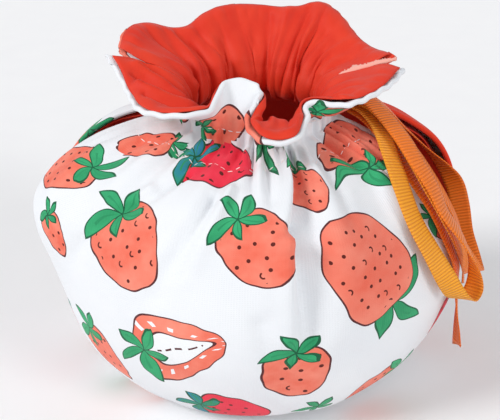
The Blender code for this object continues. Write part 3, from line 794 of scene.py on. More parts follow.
def lay_print(mesh, panel, across, along, row, column):
    """Gives each corner its place on the motif that it lies on, and each face its motif."""
    motifs = FRONT_MOTIFS if panel == "front" else back_motifs()
    vertex = corner_vertices(mesh)
    corner_across = across[row, column][vertex]
    corner_along = along[row, column][vertex]
    face_across = corner_across.reshape(-1, 4).mean(axis=1)
    face_along = corner_along.reshape(-1, 4).mean(axis=1)
    nearest = np.full(len(face_across), 1e9)
    chosen = np.zeros(len(face_across), dtype=int)
    axes = []
    for i, motif in enumerate(motifs):
        a, b = np.array([motif.across]), np.array([float(motif.along)])
        ahead, behind = (panel_places(panel, a + s * MEASURE_ACROSS, b) for s in (1, -1))
        higher, lower = (panel_places(panel, a, b + s * MEASURE_ALONG) for s in (1, -1))
        per_across = float(np.linalg.norm(ahead - behind)) / (2 * MEASURE_ACROSS)
        per_along = float(np.linalg.norm(higher - lower)) / (2 * MEASURE_ALONG)
        if panel == "back":
            per_across = max(per_across, GATHERED_FLAT)
        axes.append((per_across, per_along))
        x = (face_across - motif.across) * per_across / motif.half
        y = (face_along - motif.along) * per_along / motif.half
        turn = radians(motif.turn if panel == "front" else -motif.turn)
        x, y = (x * cos(turn) + y * sin(turn)) / motif.wide, y * cos(turn) - x * sin(turn)
        apart = np.minimum(np.hypot(x, y) / BERRY_REACH,
                           np.hypot(x, y - STALK_UP) / CROWN_REACH)
        chosen = np.where(apart < nearest, i, chosen)
        nearest = np.minimum(nearest, apart)
    pick = np.repeat(chosen, 4)
    table = np.array([(m.across, m.along, radians(m.turn), m.half, m.wide, *axis)
                      for m, axis in zip(motifs, axes)])
    middle_across, middle_along, turn, half, wide, per_across, per_along = table[pick].T
    x = (corner_across - middle_across) * per_across / half
    y = (corner_along - middle_along) * per_along / half
    if panel == "back":
        x = -x
    local = np.stack([(x * np.cos(turn) + y * np.sin(turn)) / wide,
                      -x * np.sin(turn) + y * np.cos(turn)], axis=1)
    lay_uv(mesh, "motif", local)
    facts = {"motif_kind": [m.kind for m in motifs], "motif_half": [m.half for m in motifs],
             "motif_number": [MOTIF_SHIFT[0] * i + MOTIF_SHIFT[1] for i in range(len(motifs))]}
    for name, values in facts.items():
        lay_values(mesh, name, np.array(values)[chosen], "FACE")


def lay_cloth(mesh, across, along, row, column):
    """A UV map of the flat cloth, one unit to ten millimetres."""
    vertex = corner_vertices(mesh)
    flat = np.stack([across[row, column][vertex] * PANEL_HALF, along[row, column][vertex]], 1)
    lay_uv(mesh, "cloth", flat / 10.0)


def add(tree, kind, feeds=None, dots=(), **settings):
    """Adds a node with its settings, values and links, and the dots of its curve."""
    node = tree.nodes.new(kind)
    for name, value in settings.items():
        setattr(node, name, value)
    for socket, value in (feeds or {}).items():
        entry = node.inputs[socket]
        if isinstance(value, bpy.types.NodeSocket):
            tree.links.new(value, entry)
        else:
            entry.default_value = (*value, 1.0) if entry.type == "RGBA" else value
    if dots:
        line = node.mapping.curves[0].points
        while len(line) < len(dots):
            line.new(0.5, 0.5)
        for dot, place in zip(line, dots):
            dot.location = place
        node.mapping.update()
    return node


def start_material(name, roughness, sheen):
    """A material with its shader and output, and the shader's tree."""
    made = bpy.data.materials.new(name)
    made.use_nodes = True
    tree = made.node_tree
    shader = tree.nodes["Principled BSDF"]
    shader.inputs["Roughness"].default_value = roughness
    shader.inputs["Sheen Weight"].default_value = sheen
    shader.inputs["Sheen Roughness"].default_value = 0.5
    shader.inputs["Specular IOR Level"].default_value = 0.3
    return made, tree, shader


def weave_bump(tree, shader, pitch, strength, distance):
    """Bump of a plain weave from the flat cloth's map. pitch: millimetres a thread."""
    cloth = add(tree, "ShaderNodeUVMap", uv_map="cloth").outputs[0]
    across, along = (
        add(tree, "ShaderNodeTexWave", {"Vector": cloth, "Scale": BANDS_A_MM / pitch,
            "Distortion": 0.6, "Detail": 1.0, "Detail Scale": 2.0}, bands_direction=way)
        for way in ("X", "Y"))
    both = add(tree, "ShaderNodeMath", {0: across.outputs["Fac"], 1: along.outputs["Fac"]},
               operation="MULTIPLY")
    slub = add(tree, "ShaderNodeTexNoise", {"Vector": cloth, "Scale": 1.4, "Detail": 4.0})
    total = add(tree, "ShaderNodeMath", {0: both.outputs[0], 1: slub.outputs[0]}, operation="ADD")
    bump = add(tree, "ShaderNodeBump", {"Strength": strength, "Distance": distance,
               "Height": total.outputs[0]})
    tree.links.new(bump.outputs[0], shader.inputs["Normal"])
    return cloth


def polar_steps(name, x, y):
    """Steps that work out how far a place is from a middle, and its turn from straight up."""
    return ((name + "_xx", "MULTIPLY", x, x),
            (name + "_rr", "MULTIPLY_ADD", y, y, name + "_xx"),
            (name + "_reach", "SQRT", name + "_rr"), (name + "_turn", "ARCTAN2", x, y))


def printed_cotton(colours):
    """Plain-weave cotton, bleached and screen printed: a matt white ground under flat inks."""
    made, tree, shader = start_material("printed_plain_weave_cotton", 0.88, 0.12)
    cloth = weave_bump(tree, shader, COVER_THREAD_MM, 0.25, 0.0004)
    motif = add(tree, "ShaderNodeUVMap", uv_map="motif").outputs[0]
    value = {name: add(tree, "ShaderNodeAttribute", attribute_name=layer).outputs["Fac"]
             for name, layer in (("kind", "motif_kind"), ("half", "motif_half"),
                                 ("number", "motif_number"), ("facing", "facing"))}
    # Each motif reads the noise at another place, so no two are drawn with the same wobble
    offset = add(tree, "ShaderNodeCombineXYZ", {"X": value["number"], "Y": value["number"]})
    shifted = add(tree, "ShaderNodeVectorMath", {0: motif, 1: offset.outputs[0]},
                  operation="ADD").outputs[0]
    wobble = add(tree, "ShaderNodeTexNoise", {"Vector": shifted, "Scale": 1.5, "Detail": 1.0})
    centred = add(tree, "ShaderNodeVectorMath", {0: wobble.outputs["Color"], 1: (0.5, 0.5, 0.5)},
                  operation="SUBTRACT")
    small = add(tree, "ShaderNodeVectorMath", {0: centred.outputs[0], "Scale": LINE_WOBBLE},
                operation="SCALE")
    drawn = add(tree, "ShaderNodeVectorMath", {0: motif, 1: small.outputs[0]}, operation="ADD")
    split = add(tree, "ShaderNodeSeparateXYZ", {0: drawn.outputs[0]})
    value["x"], value["y"] = split.outputs[0], split.outputs[1]

    def work_out(*steps):
        """Makes a value from others by each step. A product may have more than two factors."""
        for name, operation, *takes in steps:
            takes = [value[take] if isinstance(take, str) else take for take in takes]
            while operation == "MULTIPLY" and len(takes) > 2:
                pair = add(tree, "ShaderNodeMath", dict(enumerate(takes[:2])), operation=operation)
                takes[:2] = [pair.outputs[0]]
            value[name] = add(tree, "ShaderNodeMath", dict(enumerate(takes)),
                              operation=operation).outputs[0]

    # Turn and reach of a place on the berry, which is narrower at its tip when halved
    work_out(
        ("is_halved", "COMPARE", "kind", HALVED, 0.1),
        ("taper", "MULTIPLY_ADD", "is_halved", 0.24, 0.13),
        ("narrow", "MULTIPLY_ADD", "taper", "y", 0.93),
        ("body_x", "DIVIDE", "x", "narrow"),
        *polar_steps("body", "body_x", "y"),
        ("turn_share", "MULTIPLY_ADD", "body_turn", 0.5 / pi, 0.5),
        ("seed_scale", "MULTIPLY", "half", 1 / SEED_APART_MM),
    )
    value["outline"] = add(tree, "ShaderNodeFloatCurve", {"Value": value["turn_share"]},
                           dots=BERRY_OUTLINE).outputs[0]
    seed_at = add(tree, "ShaderNodeVectorMath", {0: shifted, "Scale": value["seed_scale"]},
                  operation="SCALE").outputs[0]
    seeds = add(tree, "ShaderNodeTexVoronoi", {"Vector": seed_at, "Scale": 1.0,
                "Randomness": 0.55}, voronoi_dimensions="2D")
    value["seed_away"] = seeds.outputs["Distance"]
    for name, kind, source in (("seed_mid", "XYZ", seeds.outputs["Position"]),
                               ("seed_x", "XYZ", seed_at),
                               ("seed_chance", "Color", seeds.outputs["Color"])):
        value[name] = add(tree, "ShaderNodeSeparate" + kind, {0: source}).outputs[0]
    work_out(
        # The berry and its drawn outline
        ("berry_in", "SUBTRACT", "outline", "body_reach"),
        ("berry_mm", "MULTIPLY", "berry_in", "half"),
        ("has_berry", "LESS_THAN", "kind", LEAVES - 0.5),
        ("inside", "GREATER_THAN", "berry_mm", 0.0),
        ("berry", "MULTIPLY", "inside", "has_berry"),
        ("near_line", "COMPARE", "berry_mm", 0.0, LINE_HALF_MM),
        ("line", "MULTIPLY", "near_line", "has_berry"),
        ("is_crimson", "COMPARE", "kind", CRIMSON, 0.1),
        # Seeds of a whole berry: dots, and here and there a hook that is half a ring
        ("not_halved", "SUBTRACT", 1.0, "is_halved"),
        ("well_in", "GREATER_THAN", "berry_in", 0.10),
        ("dot", "LESS_THAN", "seed_away", SEED_DOT),
        ("ring", "COMPARE", "seed_away", SEED_RING, SEED_RING_HALF),
        ("left_side", "LESS_THAN", "seed_x", "seed_mid"),
        ("hook", "MULTIPLY", "ring", "left_side"),
        ("hooked", "GREATER_THAN", "seed_chance", SEEDS_DOTTED),
        ("plain", "SUBTRACT", 1.0, "hooked"),
        ("dots", "MULTIPLY", "dot", "plain"),
        ("marks", "MULTIPLY_ADD", "hook", "hooked", "dots"),
        ("seed", "MULTIPLY", "marks", "well_in", "not_halved", "has_berry"),
        # Pale core of a halved berry, drop shaped and outlined
        ("core_wide", "MULTIPLY_ADD", "y", 0.24, 0.37),
        ("core_x", "DIVIDE", "body_x", "core_wide"),
        ("core_y", "MULTIPLY_ADD", "y", 1.5, 0.14),
        *polar_steps("core", "core_x", "core_y"),
        ("in_core", "LESS_THAN", "core_reach", 1.0),
        ("core", "MULTIPLY", "in_core", "is_halved"),
        ("core_near", "COMPARE", "core_reach", 1.0, 0.045),
        ("core_line", "MULTIPLY", "core_near", "is_halved"),
        # A ring of pips round the core, and dashes down its middle
        ("pip_share", "MULTIPLY", "core_turn", PIP_COUNT / (2 * pi)),
        ("pip_wave", "PINGPONG", "pip_share", 0.5),
        ("pip_side", "LESS_THAN", "pip_wave", 0.13),
        ("pip_ring", "COMPARE", "core_reach", 1.42, 0.13),
        ("pips", "MULTIPLY", "pip_side", "pip_ring", "inside", "is_halved"),
        ("dash_thin", "COMPARE", "x", 0.0, 0.022),
        ("dash_wave", "PINGPONG", "y", 0.12),
        ("dash_on", "GREATER_THAN", "dash_wave", 0.045),
        ("dash_core", "LESS_THAN", "core_reach", 0.7),
        ("dashes", "MULTIPLY", "dash_thin", "dash_on", "dash_core", "is_halved"),
        # Turn and reach of a place on the crown of leaves, which swirls a little
        ("stalk_y", "SUBTRACT", "y", STALK_UP),
        *polar_steps("leaf", "x", "stalk_y"),
        ("swirled", "MULTIPLY_ADD", "leaf_reach", 0.55, "leaf_turn"),
        ("swirl_share", "MULTIPLY_ADD", "swirled", 0.5 / pi, 0.5),
    )
    value["leaf_long"] = add(tree, "ShaderNodeFloatCurve", {"Value": value["swirl_share"]},
                             dots=LEAF_LENGTHS).outputs[0]
    work_out(
        # The leaves, with an outline of even width. The back of a bare berry hides them
        ("leaf_share", "MULTIPLY", "swirled", LEAF_COUNT / (2 * pi)),
        ("leaf_wave", "PINGPONG", "leaf_share", 0.5),
        ("leaf_side", "MULTIPLY", "leaf_wave", 2.0),
        ("leaf_body", "SUBTRACT", 1.0, "leaf_side"),
        ("leaf_full", "POWER", "leaf_body", 0.72),
        ("leaf_edge", "MULTIPLY", "leaf_long", "leaf_full"),
        ("leaf_in", "SUBTRACT", "leaf_edge", "leaf_reach"),
        ("leaf_slope", "DIVIDE", "leaf_long", "leaf_reach"),
        ("leaf_steep", "MULTIPLY", "leaf_slope", LEAF_COUNT / pi),
        ("steep_sq", "MULTIPLY_ADD", "leaf_steep", "leaf_steep", 1.0),
        ("steep", "SQRT", "steep_sq"),
        ("leaf_true", "DIVIDE", "leaf_in", "steep"),
        ("leaf_mm", "MULTIPLY", "leaf_true", "half"),
        ("leaf_over", "GREATER_THAN", "leaf_mm", 0.0),
        ("is_bare", "COMPARE", "kind", BARE, 0.1),
        ("under", "MULTIPLY", "inside", "is_bare"),
        ("shown", "SUBTRACT", 1.0, "under"),
        ("leaf", "MULTIPLY", "leaf_over", "shown"),
        ("leaf_near", "COMPARE", "leaf_mm", 0.0, 0.8 * LINE_HALF_MM),
        ("leaf_line", "MULTIPLY", "leaf_near", "shown"),
        ("vein_side", "LESS_THAN", "leaf_side", 0.09),
        ("vein_short", "LESS_THAN", "leaf_reach", 0.5),
        ("vein", "MULTIPLY", "vein_side", "vein_short", "leaf"),
        ("faced", "GREATER_THAN", "facing", 0.0),
    )
    wash = add(tree, "ShaderNodeTexNoise", {"Vector": shifted, "Scale": 1.1, "Detail": 3.0,
               "Roughness": 0.6}).outputs["Fac"]
    value["wash"] = add(tree, "ShaderNodeMapRange", {"Value": wash, 1: 0.35, 2: 0.68}).outputs[0]
    value["tone"] = add(tree, "ShaderNodeTexNoise", {"Vector": cloth, "Scale": 0.35,
                        "Detail": 3.0}).outputs["Fac"]
    # Washes first, then the inks one over the other: what is made, where, and from what two
    ink = {name: getattr(colours, name) for name in CosyColours.__annotations__}
    for name, mask, under, over in (
        ("printed", "tone", "cotton", "cotton_shade"),
        ("red", "wash", "coral", "coral_light"), ("deep", "wash", "crimson", "crimson_light"),
        ("green", "wash", "leaf", "leaf_dark"), ("blue", "wash", "teal", "leaf_dark"),
        ("red", "is_crimson", "red", "deep"), ("green", "is_crimson", "green", "blue"),
        *(("printed", mask, "printed", over) for mask, over in (
            ("berry", "red"), ("seed", "seed"), ("core", "cotton"), ("pips", "cotton"),
            ("core_line", "line"), ("dashes", "line"), ("line", "line"), ("leaf", "green"),
            ("vein", "leaf_dark"), ("leaf_line", "leaf_line"), ("faced", "lining_light"))),
    ):
        ink[name] = add(tree, "ShaderNodeMix", {0: value[mask], 6: ink[under], 7: ink[over]},
                        data_type="RGBA").outputs[2]
    tree.links.new(ink["printed"], shader.inputs["Base Color"])
    return made


def lining_cotton(colours):
    """Piece-dyed sateen cotton: smooth, with a faint sheen and lighter rubbed tones."""
    made, tree, shader = start_material("dyed_cotton_lining", 0.6, 0.08)
    cloth = weave_bump(tree, shader, LINING_THREAD_MM, 0.2, 0.0003)
    tone = add(tree, "ShaderNodeTexNoise", {"Vector": cloth, "Scale": 0.5, "Detail": 4.0})
    fac = add(tree, "ShaderNodeMapRange", {"Value": tone.outputs["Fac"], 1: 0.3, 2: 0.7})
    colour = add(tree, "ShaderNodeMix", {0: fac.outputs[0], 6: colours.lining,
                 7: colours.lining_light}, data_type="RGBA")
    tree.links.new(colour.outputs[2], shader.inputs["Base Color"])
    return made


def ribbon_finish(colours):
    """Polyester grosgrain: cross ribs with a soft sheen, painted light along the strands, a
    painted highlight on the rib tops and painted shade in the grooves.
    """
    made, tree, shader = start_material("grosgrain_ribbon", 0.4, 0.05)
    flat = add(tree, "ShaderNodeUVMap", uv_map="ribbon").outputs[0]
    ribs = add(tree, "ShaderNodeTexWave", {"Vector": flat, "Scale": BANDS_A_MM / RIB_MM,
               "Distortion": 0.25, "Detail": 1.0}, bands_direction="Y").outputs["Fac"]
    bump = add(tree, "ShaderNodeBump", {"Strength": 0.9, "Distance": 0.0005, "Height": ribs})
    tree.links.new(bump.outputs[0], shader.inputs["Normal"])
    # Painted light: the colour runs from the orange in shade to the lit orange
    painted_light = add(tree, "ShaderNodeAttribute", attribute_name="painted_light").outputs["Fac"]
    lit = add(tree, "ShaderNodeMix", {0: painted_light, 6: colours.ribbon, 7: colours.ribbon_painted_lit},
              data_type="RGBA").outputs[2]
    # Painted highlight on the rib tops and painted shade in the grooves between them
    rib_painted_light = add(tree, "ShaderNodeFloatCurve", {"Value": ribs}, dots=RIB_PAINTED_LIGHT).outputs[0]
    colour = add(tree, "ShaderNodeMix", {0: rib_painted_light, 6: colours.ribbon_groove_painted_shade, 7: lit},
                 data_type="RGBA")
    tree.links.new(colour.outputs[2], shader.inputs["Base Color"])
    return made


def thread_finish(name, colour):
    """Twisted cotton thread: fine strands, slightly fuzzy."""
    made, tree, shader = start_material(name, 0.7, 0.3)
    shader.inputs["Base Color"].default_value = (*colour, 1.0)
    place = add(tree, "ShaderNodeTexCoord").outputs["Object"]
    twist = add(tree, "ShaderNodeTexNoise", {"Vector": place, "Scale": 2500.0, "Detail": 1.0})
    bump = add(tree, "ShaderNodeBump", {"Strength": 0.4, "Distance": 0.0001,
               "Height": twist.outputs["Fac"]})
    tree.links.new(bump.outputs[0], shader.inputs["Normal"])
    return made


def floor_finish():
    """Matt painted board: a pale ground without a shine."""
    made, tree, shader = start_material("matt_pale_board", 0.9, 0.0)
    place = add(tree, "ShaderNodeTexCoord").outputs["Object"]
    grain = add(tree, "ShaderNodeTexNoise", {"Vector": place, "Scale": 30.0, "Detail": 2.0})
    colour = add(tree, "ShaderNodeMix", {0: grain.outputs["Fac"], 6: linear("#F7F7F8"),
                 7: linear("#FBFBFB")}, data_type="RGBA")
    tree.links.new(colour.outputs[2], shader.inputs["Base Color"])
    return made


def tint(name, code, what):
    """A colour property."""
    return FloatVectorProperty(name=name, description=what, subtype="COLOR", size=3, min=0.0,
                               max=1.0, default=linear(code))


class CosyColours(PropertyGroup):
    """Colours of the cloth, the print and the ribbon."""

    cotton: tint("Cotton", "#F0F2F4", "Bleached ground of the printed cotton")
    cotton_shade: tint("Cotton shade", "#E4E7EC", "Cooler tone in the ground")
    lining: tint("Lining", "#D92B12", "Dyed lining")
    lining_light: tint("Lining, light", "#E63C1E", "Rubbed tone of the lining")
    # The ribbon's orange in painted shade, painted lit, and painted darker in the grooves between
    # the ribs as shade
    ribbon: tint("Ribbon", "#FF6A12", "Ribbon that hangs turned from the light")
    ribbon_painted_lit: tint("Ribbon, light", "#FFAE2C", "Ribbon that faces the light")
    ribbon_groove_painted_shade: tint("Ribbon groove", "#C4560C", "Grooves between the ribs")
    stitch: tint("Stitch", "#F8E9E6", "Sewing thread of the casing")
    fray: tint("Fray", "#F2AE9E", "Frayed edge of the seam allowance")
    coral: tint("Coral", "#EC6C55", "Printed berries")
    coral_light: tint("Coral, light", "#F68F79", "Lighter wash of the berries")
    crimson: tint("Crimson", "#E82440", "Printed deep red berries")
    crimson_light: tint("Crimson, light", "#F23C52", "Lighter wash of the deep red berries")
    leaf: tint("Leaf", "#38AE74", "Printed leaves")
    leaf_dark: tint("Leaf, dark", "#2A9462", "Shaded leaves and their veins")
    leaf_line: tint("Leaf line", "#17603F", "Outline of the leaves")
    teal: tint("Teal", "#2C86A6", "Leaves of the deep red berries")
    line: tint("Line", "#5A2A2C", "Drawn outline of the berries")
    seed: tint("Seed", "#5E1F18", "Seeds of the berries")


class CosySizes(PropertyGroup):
    """Sizes of the fine pieces."""

    cloth: FloatProperty(name="Cloth", description="Thickness of the cotton", unit="LENGTH",
                         default=CLOTH_MM * MM, min=0.0002, max=0.002)
    ribbon_wide: FloatProperty(name="Ribbon width", description="Width of the ribbon",
                               unit="LENGTH", default=10.0 * MM, min=0.004, max=0.02)
    ribbon_thick: FloatProperty(name="Ribbon thickness", description="Thickness of the ribbon",
                                unit="LENGTH", default=0.6 * MM, min=0.0002, max=0.002)
    stitch: FloatProperty(name="Stitch", description="Length of a stitch in the casing",
                          unit="LENGTH", default=STITCH_LONG * MM, min=0.001, max=0.006)


class COSY_OT_covers(Operator):
    """Printed outer cloth of both panels, rolled over at the rim, hem and slots"""

    bl_idname = "cosy.covers"
    bl_label = "Printed covers"

    def execute(self, context):
        sizes = context.scene.cosy_sizes
        finish = printed_cotton(context.scene.cosy_colours)
        for panel in ("front", "back"):
            places, across, along = cover_grid(panel)
            piece, row, column = cloth_piece("printed_cover_" + panel, places, finish,
                                             sizes.cloth / MM)
            if panel == "back":
                piece.data.flip_normals()
            lay_cloth(piece.data, across, along, row, column)
            lay_print(piece.data, panel, across, along, row, column)
            self.lay_facing(piece.data, panel, along, row, column)
            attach(piece, "root")
            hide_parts("cover_" + panel)
        return {"FINISHED"}

    def lay_facing(self, mesh, panel, along, row, column):
        """Marks where the back panel's edge at the handle slot takes the lining's colour, as the
        lining turned out over it.
        """
        height = along[row, column]
        (low, high), (low_ease, high_ease) = FACED_ALONG, FACED_EASES
        run = eased((height - low) / low_ease) * (1 - eased((height - high) / high_ease + 1))
        last = column.max() - ROLL_STEPS - TUCK_STEPS
        beyond = column - last + FACED_COLUMNS * run + FACED_FROM
        lay_values(mesh, "facing", beyond if panel == "back" else 0 * beyond + NOT_FACED)


class COSY_OT_linings(Operator):
    """Dyed linings with their pleats and puckered seams"""

    bl_idname = "cosy.linings"
    bl_label = "Linings"

    def execute(self, context):
        sizes = context.scene.cosy_sizes
        finish = lining_cotton(context.scene.cosy_colours)
        for panel, (places, across, along) in sewn_linings().items():
            piece, row, column = cloth_piece("lining_piece_" + panel, places, finish,
                                             sizes.cloth / MM)
            if panel == "back":
                piece.data.flip_normals()
            lay_cloth(piece.data, across, along, row, column)
            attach(piece, "root")
            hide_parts("lining_" + panel)
        return {"FINISHED"}


class COSY_OT_stitches(Operator):
    """Running stitches along the casing, in white thread"""

    bl_idname = "cosy.stitches"
    bl_label = "Casing stitches"

    def execute(self, context):
        bm = bmesh.new()
        for panel in ("front", "back"):
            for line in CASING_LINES:
                self.sew(bm, panel, line, context.scene.cosy_sizes.stitch)
        thread = thread_finish("white_sewing_thread", context.scene.cosy_colours.stitch)
        piece = finished(bm, "casing_stitches", thread)
        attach(piece, "root")
        return {"FINISHED"}

    def sew(self, bm, panel, line, stitch):
        """Stitches along one line of the casing."""
        run = np.linspace(-STITCH_TO_ACROSS, STITCH_TO_ACROSS, STITCH_STATIONS)
        along = line + STITCH_WAVERS * np.sin(9 * run)
        grid_along = np.stack([along - 1.0, along, along + 1.0])
        grid_across = np.repeat(run[None], 3, axis=0)
        place = sewn_places(panel, grid_across, grid_along)
        normal = grid_normals(panel, place)
        rise = fine_rise(panel, grid_across, grid_along)
        place = (place + normal * rise[..., None])[1]
        covered = run_lengths(place)
        for start in np.arange(1.0, covered[-1] - STITCH_EVERY, STITCH_EVERY):
            a, b = (np.searchsorted(covered, s) for s in (start, start + STITCH_LONG))
            middle = (place[a] + place[b]) / 2 + normal[1, (a + b) // 2] * STITCH_LIES_OUT
            shape = (THREAD_HALF, THREAD_HALF, stitch / MM / 2)
            bmesh.ops.create_uvsphere(bm, u_segments=6, v_segments=5, radius=1.0,
                                      matrix=laid(middle, place[b] - place[a], shape))


class COSY_OT_allowance(Operator):
    """Frayed seam allowance that stands up in the notch on the handle side"""

    bl_idname = "cosy.allowance"
    bl_label = "Seam allowance"

    def execute(self, context):
        along = np.linspace(*ALLOWANCE_ALONG, ALLOWANCE_ROWS)
        side = 0 * along + 1.0
        front, back = (sewn_places(panel, side, along) for panel in ("front", "back"))
        near, far = (sewn_places(panel, side * 0.9, along) for panel in ("front", "back"))
        base = (front + back) / 2
        rising = unit(np.gradient(base, axis=0))
        away = unit(far - near)
        inward = unit(np.cross(away, rising))
        inward = inward * np.sign(inward[:, 2:] + 1e-6)
        chance = np.random.default_rng(ALLOWANCE_CHANCE)
        wide = ALLOWANCE_WIDE * np.sin(np.linspace(0.35, 2.8, len(along)))
        wide = wide * (0.72 + 0.28 * np.sin(np.linspace(0.0, 19.0, len(along))))
        share = np.linspace(0.0, 1.0, ALLOWANCE_COLUMNS)
        ragged = chance.uniform(-ALLOWANCE_RAGGED, ALLOWANCE_RAGGED, len(along))
        out = share[None] * (wide[:, None] + ragged[:, None] * share[None] ** 2)
        arch = ALLOWANCE_ARCH * np.sin(2.4 * share)[None]
        lift = LINING_UNDER + ALLOWANCE_OVER + arch + 0 * out
        places = (base[:, None] + away[:, None] * (out - ALLOWANCE_ROOT)[..., None]
                  + inward[:, None] * lift[..., None])
        finish = thread_finish("frayed_cotton_edge", context.scene.cosy_colours.fray)
        piece, _, _ = cloth_piece("seam_allowance", places, finish, CLOTH_MM)
        bm = bmesh.new()
        bm.from_mesh(piece.data)
        for _ in range(FRAY_COUNT):
            i = chance.integers(2, len(along) - 2)
            way = away[i] + rising[i] * chance.uniform(-0.8, 0.8)
            way = way + inward[i] * chance.uniform(0, 0.6)
            shape = (FRAY_HALF, FRAY_HALF, FRAY_LONG * chance.uniform(0.5, 1.1))
            bmesh.ops.create_cone(bm, cap_ends=True, segments=5, radius1=1.0, radius2=0.4,
                                  depth=1.0, matrix=laid(places[i, -1], way, shape))
        bm.to_mesh(piece.data)
        bm.free()
        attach(piece, "root")
        return {"FINISHED"}


def ribbon_places(bends, half_wide):
    """Grid of places along a strand, with its width shared over the columns."""
    rows = [(i, *bend) for i, bend in enumerate(bends)]
    last = len(bends) - 1
    path = through(rows, np.linspace(0.0, last, STRAND_ROWS * last + 1))
    spot = path[:, :3] + np.array([AXIS_RIGHT, 0.0, 0.0])
    forward = unit(np.gradient(spot, axis=0))
    wide = np.radians(path[:, 3])
    level = np.stack([np.sin(wide), -np.cos(wide), 0 * wide], axis=1)
    side = unit(level - forward * (level * forward).sum(axis=1, keepdims=True))
    thick = np.cross(side, forward)
    share = np.linspace(-1.0, 1.0, STRAND_COLUMNS)
    curl = RIBBON_CURL * share ** 2
    places = (spot[:, None] + side[:, None] * (share * half_wide)[None, :, None]
              + thick[:, None] * curl[None, :, None])
    return places, share, run_lengths(spot), forward


class COSY_OT_ribbon(Operator):
    """Grosgrain ribbon: two loops and two tails that hang from a knot"""

    bl_idname = "cosy.ribbon"
    bl_label = "Ribbon tie"

    def execute(self, context):
        sizes = context.scene.cosy_sizes
        finish = ribbon_finish(context.scene.cosy_colours)
        for name, bends in RIBBON_STRANDS.items():
            places, share, covered, forward = ribbon_places(bends, sizes.ribbon_wide / MM / 2)
            if name.endswith("tail"):
                places[-1] += (forward[-1] * TAIL_SLANT)[None] * share[:, None]
            piece, row, column = cloth_piece("ribbon_" + name, places, finish,
                                             sizes.ribbon_thick / MM)
            piece.modifiers["thickness"].offset = 0.0
            vertex = corner_vertices(piece.data)
            flat = np.stack([share[column][vertex], covered[row][vertex] / 10.0], axis=1)
            lay_uv(piece.data, "ribbon", flat)
            # Paints the strand lit or in shade along its length
            lay_values(piece.data, "painted_light", np.interp(row / row.max(), *STRAND_PAINTED_LIGHT[name]))
            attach(piece, "root")
            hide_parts("ribbon_tie")
        knot = self.knot(finish)
        return {"FINISHED"}

    def knot(self, finish):
        """The knot: the ribbon wound over itself."""
        bm = bmesh.new()
        bmesh.ops.create_uvsphere(bm, u_segments=48, v_segments=32, radius=1.0)
        for vert in bm.verts:
            x, y, z = vert.co
            turn = np.arctan2(z, y)
            wind = abs(sin(pi * (1.3 * x + 0.22 * sin(turn + 0.6)) + 0.9))
            vert.co = vert.co * (KNOT_SMALLEST + KNOT_TURNS_RISE * wind ** 0.45)
        bmesh.ops.scale(bm, vec=Vector(KNOT_HALF) * MM, verts=bm.verts)
        place = Vector(KNOT_PLACE) + Vector((AXIS_RIGHT, 0.0, 0.0))
        bmesh.ops.translate(bm, vec=place * MM, verts=bm.verts)
        piece = finished(bm, "ribbon_knot", finish)
        x, y, z = (coordinates(piece.data) - np.array(place) * MM).T / MM
        turn = np.arctan2(z, y)
        wound = np.stack([x, turn * 0.6], axis=1)
        lay_uv(piece.data, "ribbon", wound[corner_vertices(piece.data)])
        # Paints the knot evenly part way between shade and light
        lay_values(piece.data, "painted_light", KNOT_PAINTED_LIGHT + 0 * turn)
        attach(piece, "root")
        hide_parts("ribbon_tie")
        return piece


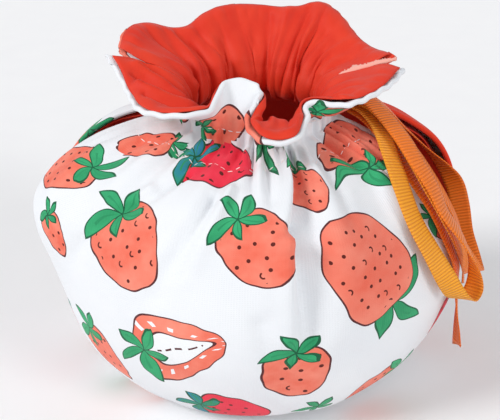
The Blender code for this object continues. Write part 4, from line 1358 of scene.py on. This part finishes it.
class COSY_OT_stage(Operator):
    """Pale floor, soft studio light and the camera at the photograph's angle"""

    bl_idname = "cosy.stage"
    bl_label = "Stage"

    def execute(self, context):
        scene = context.scene
        bm = bmesh.new()
        bmesh.ops.create_grid(bm, x_segments=1, y_segments=1, size=FLOOR_HALF)
        bmesh.ops.translate(bm, vec=(0.0, 0.0, -FLOOR_UNDER), verts=bm.verts)
        floor = finished(bm, "floor", floor_finish())
        for name, place, strength in SUNS:
            lamp = bpy.data.lights.new(name, "SUN")
            lamp.angle = radians(SUN_ANGLE)
            lamp.energy = strength
            holder = bpy.data.objects.new(name, lamp)
            holder.location = place
            holder.rotation_euler = Vector(place).to_track_quat("Z", "Y").to_euler()
            scene.collection.objects.link(holder)
        world = bpy.data.worlds.new("studio")
        world.use_nodes = True
        sky = world.node_tree.nodes["Background"]
        sky.inputs["Color"].default_value = (*linear("#FBFCFF"), 1.0)
        sky.inputs["Strength"].default_value = SKY_STRENGTH
        scene.world = world
        scene.view_settings.view_transform = "Standard"
        self.camera(scene)
        return {"FINISHED"}

    def camera(self, scene):
        """The photograph's view, from above with a long lens."""
        tilt = radians(VIEW_DOWN)
        eye = bpy.data.cameras.new("camera")
        eye.sensor_width = SENSOR_MM
        eye.lens = SENSOR_MM * FOCAL_PIXELS / FRAME_PIXELS
        eye.shift_x = VIEW_SHIFT
        eye.clip_start = 0.01
        holder = bpy.data.objects.new("camera", eye)
        holder.location = (AXIS_RIGHT * MM, -VIEW_AWAY * cos(tilt),
                           VIEW_HEIGHT + VIEW_AWAY * sin(tilt))
        holder.rotation_euler = (pi / 2 - tilt, 0.0, 0.0)
        scene.collection.objects.link(holder)
        scene.camera = holder


class COSY_PT_sidebar(Panel):
    """Lists the pieces of the cosy"""

    bl_label = "Gathered tea cosy"
    bl_space_type = "VIEW_3D"
    bl_region_type = "UI"
    bl_category = "Tea cosy"

    def draw(self, context):
        for operator in OPERATORS:
            self.layout.operator(operator.bl_idname)
        for name in ("cosy_sizes", "cosy_colours"):
            group = getattr(context.scene, name)
            for entry in group.__annotations__:
                self.layout.prop(group, entry)


OPERATORS = (COSY_OT_linings, COSY_OT_covers, COSY_OT_stitches, COSY_OT_allowance,
             COSY_OT_ribbon, COSY_OT_stage)
CLASSES = (CosyColours, CosySizes, *OPERATORS, COSY_PT_sidebar)


def register():
    """Adds the classes and their settings to Blender."""
    for entry in CLASSES:
        bpy.utils.register_class(entry)
    bpy.types.Scene.cosy_colours = PointerProperty(type=CosyColours)
    bpy.types.Scene.cosy_sizes = PointerProperty(type=CosySizes)


def unregister():
    """Takes them out again."""
    del bpy.types.Scene.cosy_sizes
    del bpy.types.Scene.cosy_colours
    for entry in reversed(CLASSES):
        bpy.utils.unregister_class(entry)


def main():
    """Builds every piece."""
    register()
    for operator in OPERATORS:
        group, name = operator.bl_idname.split(".")
        getattr(getattr(bpy.ops, group), name)()


if __name__ == "__main__":
    main()
